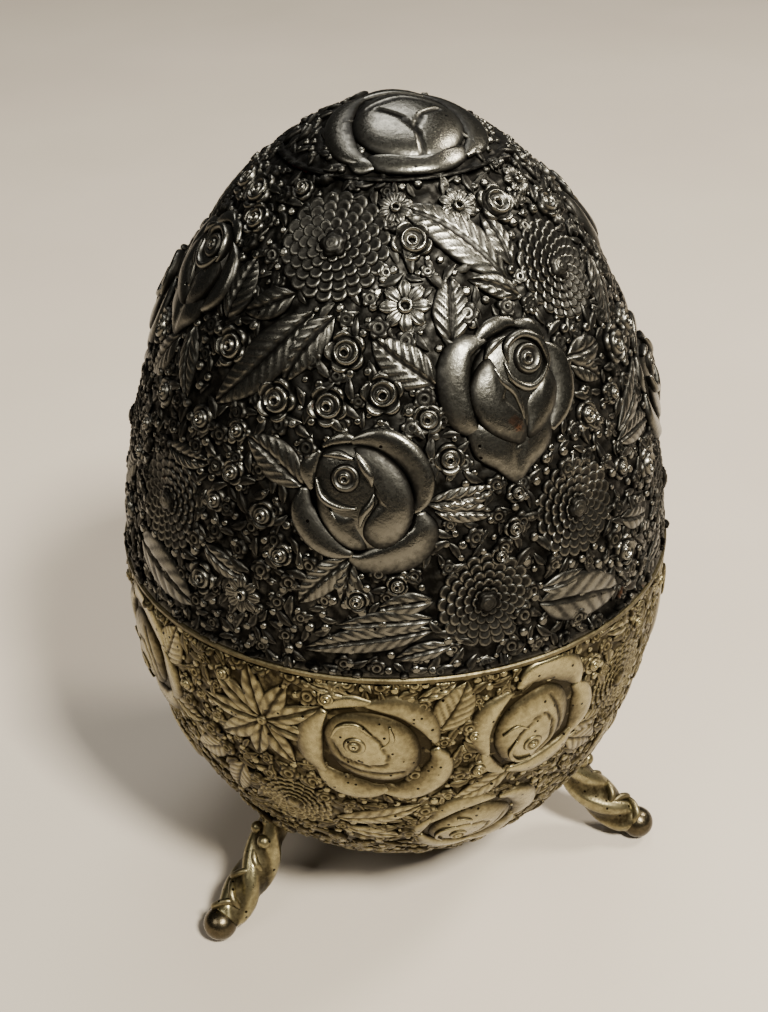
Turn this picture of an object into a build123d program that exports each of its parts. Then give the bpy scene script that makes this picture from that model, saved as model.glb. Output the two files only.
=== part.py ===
"""A footed, egg-shaped trinket box in plated cast metal.

The egg is hollow and parts just above its widest circle.  The upper shell is the
lid, closed at its crown by a separately cast medallion, and the lower shell is the
bowl, which stands on three scroll feet.  A rim ring soldered into the bowl's mouth
carries an upstanding bezel that centres the lid, and a three-knuckle hinge joins the
halves at the back, above the back foot.  Both halves are lined.

Frame, in millimetres: origin on the table under the egg's axis, +Z up, front towards
-Y, hinge at +Y.  Azimuths are measured from the front, positive towards +X.
"""

from build123d import *
import os
from math import acos, cos, pi, radians, sin

# The egg's body, heights counted from its own lowest point
EGG_HEIGHT = 100.0
EGG_RADIUS = 34.0
WIDEST_HEIGHT = 42.5
UPPER_POWER = 1.13  # over 1 draws the crown in
LOWER_POWER = 0.85  # under 1 fills the bowl out
SEAM_HEIGHT = 46.5
CROWN_HEIGHT = 94.7
TABLE_GAP = 2.6  # air between the egg's lowest point and the table
OUTLINE_STEPS = 12  # outline points in each half of the egg

# Walls, gaps and the lining
WALL = 1.6
GLUE_GAP = 0.05
LINING = 1.2
LID_GAP = 0.15

# The medallion is half lapped into the lid's crown
LAP_RADIUS = 11.3
LAP_DEPTH = 0.8

# Rim ring: a shelf between the halves, a bezel above it and a skirt below it
SHELF = 0.7
SHELF_RADIUS = 34.15
SHELF_ROUND = 0.15
BEZEL_HEIGHT = 3.5
BEZEL_WALL = 0.8
BEZEL_CLEARANCE = 0.3
SKIRT_DEPTH = 3.5

# Hinge
PLATE = 0.8
PLATE_WIDTH = 16.0
PLATE_HEIGHT = 7.0
KNUCKLE_RADIUS = 1.6
KNUCKLE_GAP = 0.15
LID_KNUCKLE = 6.0
PIN_RADIUS = 0.75
PIN_CLEARANCE = 0.05
PIN_HEAD_RADIUS = 1.15
PIN_HEAD = 0.6
HEEL_REACH = 3.2
HEEL_THICKNESS = 0.9
HEEL_DROP = 9.0  # degrees below straight back, so it meets the bowl's plate when fully open

# Feet
FOOT_AZIMUTHS = {"foot_front_left": -60.0, "foot_front_right": 60.0, "foot_back": 180.0}
TOE_RADIUS = 2.6
TOE_REACH = 34.0  # toe centre from the egg's axis
PAD_DEPTH = 0.25  # how much of the toe's underside is filed flat
LEG_RADIUS = 1.8
LEG_TOP = (23.6, 13.4)  # radius and height where the leg leaves the bracket
KNEE = (27.2, 7.4)
BRACKET = 1.2
BRACKET_WIDTH = 9.0
BRACKET_LOW = 9.0
BRACKET_HIGH = 18.0

SEAM_Z = SEAM_HEIGHT + TABLE_GAP
CROWN_Z = CROWN_HEIGHT + TABLE_GAP
TOP_Z = EGG_HEIGHT + TABLE_GAP
BIG = 200.0


def egg_point(angle, inset):
    """Radius and height on the outline; angle runs from 0 at the crown to pi at the bottom."""
    upper = angle <= pi / 2
    rise = (EGG_HEIGHT - WIDEST_HEIGHT if upper else WIDEST_HEIGHT) - inset
    power = UPPER_POWER if upper else LOWER_POWER
    radius = (EGG_RADIUS - inset) * abs(sin(angle)) ** power
    return radius, TABLE_GAP + WIDEST_HEIGHT + rise * cos(angle)


def egg_radius_at(z, inset=0.0):
    """Radius of the upper or lower half at a height in the box's frame."""
    above = z - TABLE_GAP - WIDEST_HEIGHT
    rise = (EGG_HEIGHT - WIDEST_HEIGHT if above >= 0 else WIDEST_HEIGHT) - inset
    return egg_point(acos(above / rise), inset)[0]


def egg_solid(inset):
    """The whole egg as a solid of revolution, taken in by inset."""
    steps = 2 * OUTLINE_STEPS
    outline = [egg_point(pi * i / steps, inset) for i in range(steps + 1)]
    points = [(0, outline[0][1])] + outline[1:-1] + [(0, outline[-1][1])]
    level = [(1, 0, 0), (-1, 0, 0)]
    curve = Spline(*[(r, 0, z) for r, z in points], tangents=level, tangent_scalars=(1, 1))
    axis_line = Line(curve @ 1, curve @ 0)
    return revolve(make_face([curve, axis_line]), Axis.Z)


def skin(outer, inner, low, high):
    """A band of the egg's skin between two insets, cut level at two heights."""
    margin = 2.0
    steps = 8
    heights = [low - margin + (high - low + 2 * margin) * i / steps for i in range(steps + 1)]
    far = Spline(*[(egg_radius_at(z, outer), 0, z) for z in heights])
    near = Spline(*[(egg_radius_at(z, inner), 0, z) for z in heights])
    outline = [far, Line(far @ 1, near @ 1), near, Line(near @ 0, far @ 0)]
    return revolve(make_face(outline), Axis.Z) & slab(low, high)


def slab(low, high):
    """Everything between two heights."""
    return Pos(0, 0, low) * Box(BIG, BIG, high - low, align=(Align.CENTER, Align.CENTER, Align.MIN))


def ring(points):
    """A solid of revolution about Z from an outline of (radius, height) points."""
    outline = Polyline(*[(r, 0, z) for r, z in points], close=True)
    return revolve(make_face(outline), Axis.Z)


def turned(part, azimuth):
    """Part built towards the front, turned to an azimuth."""
    return Rot(0, 0, azimuth) * part


def x_cylinder(radius, x_low, x_high, y, z):
    """A cylinder lying along X."""
    length = x_high - x_low
    return Pos((x_low + x_high) / 2, y, z) * Rot(0, 90, 0) * Cylinder(radius, length)


outer_egg = egg_solid(0)
inner_egg = egg_solid(WALL)
metal = outer_egg - inner_egg


def lid_parts():
    """Lid shell and crown medallion, half lapped into each other."""
    lap = Pos(0, 0, CROWN_Z - LAP_DEPTH) * Cylinder(
        LAP_RADIUS, LAP_DEPTH, align=(Align.CENTER, Align.CENTER, Align.MIN)
    )
    tongue = Pos(0, 0, CROWN_Z - LAP_DEPTH) * Cylinder(
        LAP_RADIUS - GLUE_GAP, LAP_DEPTH, align=(Align.CENTER, Align.CENTER, Align.MIN)
    )
    shell = metal & slab(SEAM_Z + LID_GAP, CROWN_Z - GLUE_GAP)
    shell = shell - lap
    medallion = (metal & slab(CROWN_Z, TOP_Z + 1)) + (metal & tongue)
    return shell, medallion


def bowl_shell():
    """The lower half, cut level under the rim ring's shelf."""
    return metal & slab(0, SEAM_Z - SHELF)


def rim_ring():
    """Shelf, bezel and skirt in one turned ring, soldered into the bowl's mouth."""
    bezel_out = egg_radius_at(SEAM_Z + BEZEL_HEIGHT, WALL) - BEZEL_CLEARANCE
    skirt_out = egg_radius_at(SEAM_Z - SHELF, WALL) - GLUE_GAP
    inside = bezel_out - BEZEL_WALL
    shelf = SHELF_RADIUS
    r = SHELF_ROUND
    return ring(
        [
            (inside, SEAM_Z - SHELF - SKIRT_DEPTH),
            (skirt_out, SEAM_Z - SHELF - SKIRT_DEPTH),
            (skirt_out, SEAM_Z - SHELF),
            (shelf - r, SEAM_Z - SHELF),
            (shelf, SEAM_Z - SHELF + r),
            (shelf, SEAM_Z - r),
            (shelf - r, SEAM_Z),
            (bezel_out, SEAM_Z),
            (bezel_out, SEAM_Z + BEZEL_HEIGHT),
            (inside, SEAM_Z + BEZEL_HEIGHT),
        ]
    )


def linings():
    """A formed, flocked liner in each half."""
    cloth = egg_solid(WALL + GLUE_GAP) - egg_solid(WALL + GLUE_GAP + LINING)
    lid = cloth & slab(SEAM_Z + BEZEL_HEIGHT + 0.5, TOP_Z)
    bowl = cloth & slab(0, SEAM_Z - SHELF - SKIRT_DEPTH - 0.2)
    return lid, bowl


PIN_Y = EGG_RADIUS + PLATE + KNUCKLE_GAP + KNUCKLE_RADIUS
PIN_Z = SEAM_Z - SHELF / 2


def hinge_plate(low, high):
    """A plate bent to the egg's back between two heights."""
    cutter = Pos(0, EGG_RADIUS, low) * Box(
        PLATE_WIDTH, EGG_RADIUS, high - low, align=(Align.CENTER, Align.CENTER, Align.MIN)
    )
    return skin(-PLATE, -GLUE_GAP, low, high) & cutter


def knuckle(x_low, x_high, web_low, web_high):
    """A tube on the pin's line with a web that reaches its plate."""
    tube = x_cylinder(KNUCKLE_RADIUS, x_low, x_high, PIN_Y, PIN_Z)
    web = Pos((x_low + x_high) / 2, PIN_Y, web_low) * Box(
        x_high - x_low,
        PIN_Y - EGG_RADIUS + 1.5,
        web_high - web_low,
        align=(Align.CENTER, Align.MAX, Align.MIN),
    )
    return tube + (web - egg_solid(-PLATE / 2))


def hinge():
    """Bowl leaf, lid leaf with its stop heel, and the pin."""
    bore = x_cylinder(PIN_RADIUS + PIN_CLEARANCE, -BIG, BIG, PIN_Y, PIN_Z)
    half = PLATE_WIDTH / 2
    inner = LID_KNUCKLE / 2
    side_gap = 0.1
    bowl_top = SEAM_Z - SHELF - GLUE_GAP
    lid_low = SEAM_Z + LID_GAP

    bowl_leaf = hinge_plate(bowl_top - PLATE_HEIGHT, bowl_top)
    for x_low, x_high in ((-half, -inner - side_gap), (inner + side_gap, half)):
        bowl_leaf += knuckle(x_low, x_high, PIN_Z - KNUCKLE_RADIUS, bowl_top)
    bowl_leaf -= bore

    lid_leaf = hinge_plate(lid_low, lid_low + PLATE_HEIGHT)
    lid_leaf += knuckle(-inner, inner, lid_low, PIN_Z + KNUCKLE_RADIUS)
    heel = Pos(0, PIN_Y, PIN_Z) * Rot(-HEEL_DROP, 0, 0) * Box(
        LID_KNUCKLE, HEEL_REACH, HEEL_THICKNESS, align=(Align.CENTER, Align.MIN, Align.CENTER)
    )
    lid_leaf += heel
    lid_leaf -= bore

    pin = x_cylinder(PIN_RADIUS, -half - PIN_HEAD, half + PIN_HEAD, PIN_Y, PIN_Z)
    for side in (-1, 1):
        ends = sorted((side * (half + GLUE_GAP), side * (half + PIN_HEAD)))
        pin += x_cylinder(PIN_HEAD_RADIUS, ends[0], ends[1], PIN_Y, PIN_Z)
    return bowl_leaf, lid_leaf, pin


def foot():
    """One scroll foot facing the front: ball toe, leg and a bracket soldered to the bowl."""
    toe_z = TOE_RADIUS - PAD_DEPTH
    toe = Pos(0, -TOE_REACH, toe_z) * Sphere(TOE_RADIUS)
    path = Spline(
        (0, -LEG_TOP[0], LEG_TOP[1]),
        (0, -KNEE[0], KNEE[1]),
        (0, -TOE_REACH, toe_z),
        tangents=[(0, -0.5, -1), (0, -1, -0.1)],
    )
    leg = sweep(Plane(origin=path @ 0, z_dir=path % 0) * Circle(LEG_RADIUS), path=path)
    cutter = Pos(0, -EGG_RADIUS, 0) * Box(BRACKET_WIDTH, 2 * EGG_RADIUS, BIG)
    bracket = skin(-BRACKET, -GLUE_GAP, BRACKET_LOW, BRACKET_HIGH) & cutter
    whole = (toe + leg) - egg_solid(-GLUE_GAP) + bracket
    return whole & slab(0, BIG)


def main():
    os.makedirs("parts", exist_ok=True)
    lid_shell, lid_medallion = lid_parts()
    lid_lining, bowl_lining = linings()
    hinge_leaf_bowl, hinge_leaf_lid, hinge_pin = hinge()
    parts = {
        "lid_shell": lid_shell,
        "lid_medallion": lid_medallion,
        "lid_lining": lid_lining,
        "bowl_shell": bowl_shell(),
        "bowl_rim_ring": rim_ring(),
        "bowl_lining": bowl_lining,
        "hinge_leaf_bowl": hinge_leaf_bowl,
        "hinge_leaf_lid": hinge_leaf_lid,
        "hinge_pin": hinge_pin,
    }
    front_foot = foot()
    for name, azimuth in FOOT_AZIMUTHS.items():
        parts[name] = turned(front_foot, azimuth)
    for name, part in parts.items():
        export_step(part, f"parts/{name}.step")
    print("pin at y %.2f z %.2f, seam z %.2f" % (PIN_Y, PIN_Z, SEAM_Z))


main()
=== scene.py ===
"""A footed, egg-shaped trinket box: cast flower relief, scroll feet, metal finishes and stage.

Relief is worked flat, in millimetres across, along and up, out of two kinds of closed solid:
a pad, which is a rounded island inside an outline, and a band, which is a rounded strip along
a path.  Finished motifs are then laid on the egg.  Azimuths run from the front towards +X, and
heights on the egg are in millimetres above its lowest point.
"""

import math
from functools import partial

import bpy
import numpy as np
from bpy.props import FloatProperty, FloatVectorProperty, IntProperty, PointerProperty
from mathutils import Matrix, Vector


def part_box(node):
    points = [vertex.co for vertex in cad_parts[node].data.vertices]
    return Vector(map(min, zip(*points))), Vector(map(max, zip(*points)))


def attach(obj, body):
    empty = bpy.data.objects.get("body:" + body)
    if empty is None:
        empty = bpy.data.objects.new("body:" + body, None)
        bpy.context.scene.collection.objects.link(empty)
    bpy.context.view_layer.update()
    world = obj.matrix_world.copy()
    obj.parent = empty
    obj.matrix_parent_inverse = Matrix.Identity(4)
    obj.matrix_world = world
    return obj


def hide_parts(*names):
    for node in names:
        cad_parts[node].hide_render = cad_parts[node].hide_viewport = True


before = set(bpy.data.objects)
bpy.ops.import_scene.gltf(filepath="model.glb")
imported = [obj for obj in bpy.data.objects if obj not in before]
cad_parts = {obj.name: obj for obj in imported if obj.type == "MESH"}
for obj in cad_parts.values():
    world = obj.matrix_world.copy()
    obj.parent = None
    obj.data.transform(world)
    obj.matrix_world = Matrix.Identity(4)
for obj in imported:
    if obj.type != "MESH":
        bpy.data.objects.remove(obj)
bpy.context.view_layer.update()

bl_info = {
    "name": "Footed egg trinket box",
    "version": (1, 0, 0),
    "blender": (4, 5, 0),
    "location": "3D View > Sidebar > Egg Box",
    "description": "Builds the relief, feet, finishes and stage of a footed egg trinket box",
    "category": "Object",
}

MM = 0.001
BOWL_LOW, BOWL_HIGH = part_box("bowl_shell")
LID_LOW, LID_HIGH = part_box("lid_shell")
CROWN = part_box("lid_medallion")[1].z / MM
GAP = BOWL_LOW.z / MM
RADIUS = BOWL_HIGH.x / MM
LID_FOOT = LID_LOW.z / MM
CROWN_JOINT = LID_HIGH.z / MM
BOWL_TOP = BOWL_HIGH.z / MM
EGG_HEIGHT = CROWN - GAP
WIDEST = 42.5
UPPER_POWER, LOWER_POWER = 1.13, 0.85
WALL = 1.6
TABLE_TOE = 2.6
FOOT_AZIMUTHS = {"foot_front_left": -60.0, "foot_front_right": 60.0, "foot_back": 180.0}
# heights, in mm, that keep work on each half clear of the other
CLEAR = {"lid": (LID_FOOT + 0.1, 1e3), "bowl": (0.0, BOWL_TOP - 0.1)}
# half width and half height, in mm, of the flat left under the hinge
SEAT_ACROSS, SEAT_UP = 8.3, 7.4
# rows of points outside and inside, and points round, of a half's ground and of the crown's
GROUND_GRID = (124, 20, 480)
CROWN_GRID = (46, 10, 300)
# sines in a ripple, and the usual height of their sum
RIPPLE_WAVES, RIPPLE_HEIGHT = 16, 3.4
# most motifs to a square metre before spacing thins them
DENSEST = 900000.0
# how bright a ball's top is rubbed
BALL_RUB = 0.8
# the body, colour slot and finish of the lid's castings and of the bowl's
SILVER = ("lid", "antique_silver", "antique_silver_plate_rubbed")
GILT = ("bowl", "gilt_brass", "pale_gilt_plate_toned")


# ---------------------------------------------------------------- curves and the egg


def smooth(x, low, high):
    """Rises from 0 at low to 1 at high with level ends."""
    t = np.clip((np.asarray(x, float) - low) / (high - low), 0.0, 1.0)
    return t * t * (3.0 - 2.0 * t)


def curve_through(points, count, closed=False):
    """Evenly spaced points on a Catmull-Rom curve through the given ones."""
    p = np.asarray(points, float)
    if closed:
        p = np.vstack([p[-1], p, p[0], p[1]])
    else:
        p = np.vstack([2 * p[0] - p[1], p, 2 * p[-1] - p[-2]])
    t = np.linspace(0, 1, 17)[:-1, None]
    pieces = []
    for a, b, c, d in zip(p[:-3], p[1:-2], p[2:-1], p[3:]):
        pieces.append(
            0.5 * (
                2 * b + (c - a) * t + (2 * a - 5 * b + 4 * c - d) * t**2 + (3 * b - a - 3 * c + d) * t**3
            )
        )
    fine = np.vstack(pieces + [p[-2][None]])
    run = np.concatenate([[0], np.cumsum(np.linalg.norm(np.diff(fine, axis=0), axis=1))])
    at = np.linspace(0, run[-1], count + 1 if closed else count)
    even = np.column_stack([np.interp(at, run, fine[:, k]) for k in range(p.shape[1])])
    return even[:-1] if closed else even


def along(values, t):
    """A quantity given at even steps, read smoothly at t between 0 and 1."""
    values = np.atleast_1d(np.asarray(values, float))
    if len(values) == 1:
        return np.full(np.shape(t), values[0])
    line = curve_through(np.column_stack([np.linspace(0, 1, len(values)), values]), 200)
    return np.maximum(np.interp(t, line[:, 0], line[:, 1]), 0.0)


def spun(flat, turn):
    """Across and along of flat work turned anticlockwise."""
    c, s = math.cos(math.radians(turn)), math.sin(math.radians(turn))
    return flat[:, 0] * c - flat[:, 1] * s, flat[:, 0] * s + flat[:, 1] * c


class Egg:
    """The egg's outline as a fine table from crown to bottom: run, radius, height and normal."""

    def __init__(self):
        t = np.linspace(0, math.pi, 6001)
        upper = t <= math.pi / 2
        rise = np.where(upper, EGG_HEIGHT - WIDEST, WIDEST)
        power = np.where(upper, UPPER_POWER, LOWER_POWER)
        self.r = RADIUS * np.clip(np.sin(t), 0, 1) ** power
        self.z = WIDEST + rise * np.cos(t)
        self.s = np.concatenate([[0], np.cumsum(np.hypot(np.diff(self.r), np.diff(self.z)))])
        dr, dz = np.gradient(self.r, self.s), np.gradient(self.z, self.s)
        size = np.hypot(dr, dz)
        self.nr, self.nz = -dz / size, dr / size
        self.nr[0], self.nz[0] = 0, 1
        self.nr[-1], self.nz[-1] = 0, -1

    def run(self, height):
        """Run from the crown to a height above the egg's lowest point."""
        return np.interp(-np.asarray(height, float), -self.z, self.s)

    def radius(self, height):
        return np.interp(-np.asarray(height, float), -self.z, self.r)

    def place(self, azimuth, run, lift):
        """Points in the frame, in mm, from azimuth in radians, run and lift off the surface."""
        r = np.interp(run, self.s, self.r) + lift * np.interp(run, self.s, self.nr)
        z = np.interp(run, self.s, self.z) + lift * np.interp(run, self.s, self.nz)
        return np.column_stack([r * np.sin(azimuth), -r * np.cos(azimuth), z + GAP])

    def lay(self, flat, azimuth, height, turn):
        """Lay flat work (across, along, up) on the egg about a centre, turned anticlockwise."""
        u, v = spun(flat, turn)
        run = self.run(height)
        r0, z0 = np.interp(run, self.s, self.r), np.interp(run, self.s, self.z)
        nr, nz = np.interp(run, self.s, self.nr), np.interp(run, self.s, self.nz)
        depth = r0 / max(nr, 0.05)
        eye = z0 - depth * nz
        reach = r0 - v * nz
        rho = np.hypot(reach, u)
        angle = np.arctan2(z0 + v * nr - eye, rho)
        table = np.arctan2(self.z - eye, self.r)
        landed = np.interp(-angle, -table, self.s)
        return self.place(math.radians(azimuth) + np.arctan2(u, reach), landed, flat[:, 2])

    def lay_crown(self, flat, turn):
        """Lay flat work centred on the crown itself, along pointing to the back."""
        u, v = spun(flat, turn)
        return self.place(np.arctan2(u, -v), np.hypot(u, v), flat[:, 2])


EGG = Egg()


# ---------------------------------------------------------------- flat relief work


class Work:
    """Closed relief solids: points, quads, triangles, and each point's brightness: how far it is rubbed
    bright, with painted shade and painted highlights added on some motifs.
    """

    def __init__(self, points=None, quads=None, tris=None, rub_and_shading=None):
        self.points = np.zeros((0, 3)) if points is None else points
        self.quads = np.zeros((0, 4), int) if quads is None else quads
        self.tris = np.zeros((0, 3), int) if tris is None else tris
        self.rub_and_shading = np.zeros(0) if rub_and_shading is None else rub_and_shading

    def moved(self, points):
        return Work(points, self.quads, self.tris, self.rub_and_shading)

    def scaled(self, across, up):
        return self.moved(self.points * (across, across, up))

    def shone(self, factor):
        """The same work, rubbed less bright."""
        return Work(self.points, self.quads, self.tris, self.rub_and_shading * factor)

    def turned(self, degrees, dx=0.0, dy=0.0, dz=0.0):
        a = math.radians(degrees)
        m = np.array([[math.cos(a), -math.sin(a), 0], [math.sin(a), math.cos(a), 0], [0, 0, 1]])
        return self.moved(self.points @ m.T + (dx, dy, dz))

    def on_egg(self, azimuth, height, turn=0.0):
        return self.moved(EGG.lay(self.points, azimuth, height, turn))

    def on_crown(self, turn):
        return self.moved(EGG.lay_crown(self.points, turn))


def together(works):
    """One work from several."""
    sizes = np.cumsum([0] + [len(w.points) for w in works])
    return Work(
        np.vstack([w.points for w in works]),
        np.vstack([w.quads + n for w, n in zip(works, sizes)]),
        np.vstack([w.tris + n for w, n in zip(works, sizes)]),
        np.concatenate([w.rub_and_shading for w in works]),
    )


def walls(first, rings, i, j):
    """Quads that join each ring of points to the next, j being the neighbour of i."""
    return np.vstack([
        np.column_stack(
            [a + i, a + len(i) + i, a + len(i) + j, a + j]
        ) for a in first + len(i) * np.arange(rings - 1)
    ])


def ring_work(rings, tops, sink, rub_and_shading):
    """Joins rings of points round a centre into a solid with a skirt and a floor."""
    count = rings[0].shape[0]
    centre = rings[0].mean(0)
    points = [np.append(centre, tops[0].mean())[None]]
    for ring, top in zip(rings, tops):
        points.append(np.column_stack([ring, top]))
    points.append(np.column_stack([rings[-1], np.full(count, sink)]))
    points.append(np.append(centre, sink)[None])
    i = np.arange(count)
    j = (i + 1) % count
    tris = [np.column_stack([np.zeros(count, int), 1 + i, 1 + j])]
    last = 1 + len(rings) * count
    tris.append(np.column_stack([np.full(count, last + count), last + j, last + i]))
    all_rub_and_shading = np.concatenate([[rub_and_shading[0].mean()], np.concatenate(rub_and_shading), np.zeros(count + 1)])
    return Work(np.vstack(points), walls(1, len(rings) + 1, i, j), np.vstack(tris), all_rub_and_shading)


def pad(
    outline, height, centre=None, rings=9, around=40, fullness=2.8, edge=0.22, base=0.0, sink=-0.7,
    shape=None,
):
    """A rounded island inside a closed outline that its centre can see all of."""
    rim = curve_through(outline, around, closed=True)
    x, y = rim[:, 0], rim[:, 1]
    if np.sum(x * np.roll(y, -1) - np.roll(x, -1) * y) < 0:
        rim = rim[::-1]
    centre = rim.mean(0) if centre is None else np.asarray(centre, float)
    loops, tops, rub_and_shading = [], [], []
    for i in range(1, rings + 1):
        rho = math.sin(i / rings * math.pi / 2) ** 0.9
        loop = centre + rho * (rim - centre)
        swell = edge + (1 - edge) * math.sqrt(max(1 - rho**fullness, 0.0))
        top = np.full(around, height * swell)
        bright = np.full(around, float(smooth(swell, edge, 0.96)))
        if shape:
            extra, shine = shape(loop[:, 0], loop[:, 1], rho)
            top, bright = top + extra, np.clip(bright * shine, 0, 1)
        loops.append(loop)
        tops.append(top + base)
        rub_and_shading.append(bright)
    return ring_work(loops, tops, sink, rub_and_shading)


def disc(
    radius, profile, lobes=0, depth=0.0, rings=10, around=30, height=1.0, twist=0.0, fold=0.0, sink=-0.7
):
    """A round motif from heights against radius, its rim cut into lobes parted by folds."""
    angle = np.linspace(0, 2 * math.pi, around, endpoint=False)
    loops, tops, rub_and_shading = [], [], []
    stops, levels = zip(*profile)
    for i in range(1, rings + 1):
        rho = i / rings
        cut = 1 - depth * smooth(rho, 0.45, 1.0) * (1 - np.abs(np.sin(lobes * angle / 2))) if lobes else 1.0
        reach = radius * rho * cut * np.ones(around)
        loops.append(np.column_stack([reach * np.cos(angle), reach * np.sin(angle)]))
        level = np.interp(np.clip(rho + twist * np.sin(angle + 5 * rho), 0, 1), stops, levels)
        if lobes:
            level = level - fold * smooth(rho, 0.5, 0.75) * (1 - np.abs(np.sin(lobes * angle / 2))) ** 2
        tops.append(height * level)
        rub_and_shading.append(smooth(level, 0.35, 0.95))
    return ring_work(loops, tops, sink, rub_and_shading)


def band(
    path, half, height, steps=22, across=8, fullness=2.4, edge=0.2, base=0.0, sink=-0.7, lean=0.0,
    shape=None,
):
    """A rounded strip along a path, its half width and height given at even steps."""
    line = curve_through(path, steps)
    t = np.linspace(0, 1, steps)
    way = np.gradient(line, axis=0)
    way /= np.linalg.norm(way, axis=1)[:, None] + 1e-9
    side = np.column_stack([way[:, 1], -way[:, 0]])
    w = np.maximum(along(half, t), 0.03)
    tall = along(height, t) * np.clip((w / w.max()) ** 0.45, 0.15, 1)
    s = np.sin(np.linspace(-1, 1, across + 1) * math.pi / 2)
    swell = edge + (1 - edge) * np.sqrt(np.clip(1 - np.abs(s) ** fullness, 0, 1))
    x = line[:, None, 0] + side[:, None, 0] * w[:, None] * s
    y = line[:, None, 1] + side[:, None, 1] * w[:, None] * s
    z = tall[:, None] * (swell + lean * s * swell)
    # painted shade: a leaning strip is painted up to half as bright on the side that leans down, as if that
    # side were turned from the light
    side_lit = 1 - 0.5 * smooth(-s * np.sign(lean), -0.3, 1.0) * abs(np.sign(lean))
    bright = smooth(swell, edge, 0.96)[None] * np.ones((steps, 1)) * side_lit
    if shape:
        extra, shine = shape(t[:, None], s[None], w[:, None])
        z, bright = z + extra * tall[:, None], np.clip(bright * shine, 0, 1)
    z = z + base
    low = np.full((steps, 1), sink)
    x = np.hstack([x, x[:, -1:], x[:, :1]])
    y = np.hstack([y, y[:, -1:], y[:, :1]])
    z = np.hstack([z, low, low])
    bright = np.hstack([bright, low * 0, low * 0])
    loop = across + 3
    i = np.arange(loop)
    j = (i + 1) % loop
    quads = np.roll(walls(0, steps, j, i), 1, axis=1)
    fan = np.arange(1, loop - 1)
    last = (steps - 1) * loop
    first = np.column_stack([np.zeros(len(fan), int), fan + 1, fan])
    final = np.column_stack([np.full(len(fan), last), last + fan, last + fan + 1])
    points = np.column_stack([x.ravel(), y.ravel(), z.ravel()])
    return Work(points, quads, np.vstack([first, final]), bright.ravel())


def near_line(x, y, path):
    """Distance from each point to an open path, in mm."""
    best = np.full(np.shape(x), 1e9)
    for (ax, ay), (bx, by) in zip(path[:-1], path[1:]):
        dx, dy = bx - ax, by - ay
        t = np.clip(((x - ax) * dx + (y - ay) * dy) / (dx * dx + dy * dy), 0, 1)
        best = np.minimum(best, np.hypot(x - ax - t * dx, y - ay - t * dy))
    return best


def creased(*folds):
    """A shape that presses a groove into a pad along each path given with its depth and width."""

    def shape(x, y, rho):
        fall, bright = 0.0, 1.0
        for path, depth, width in folds:
            dip = np.exp(-((near_line(x, y, path) / width) ** 2))
            fall, bright = fall - depth * dip, bright * (1 - 0.9 * dip)
        return fall, bright

    return shape


# ---------------------------------------------------------------- motifs


def rose_eye(x, y, size, base):
    """The rolled heart of a rose: a rim, a coil and a pierced middle."""
    coil = disc(
        size,
        [
            (0, 0.45), (0.1, 0.5), (0.2, 1.0), (0.34, 0.98), (0.44, 0.55), (0.54, 0.6), (0.72, 0.9),
            (0.86, 0.8), (1, 0.35),
        ],
        rings=16,
        around=36,
        height=0.75,
        twist=0.05,
    )
    return coil.turned(0, x, y, base)


# how a broad outer petal is sampled and rounded
BROAD = {"across": 16, "fullness": 2.7, "edge": 0.16}


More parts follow.
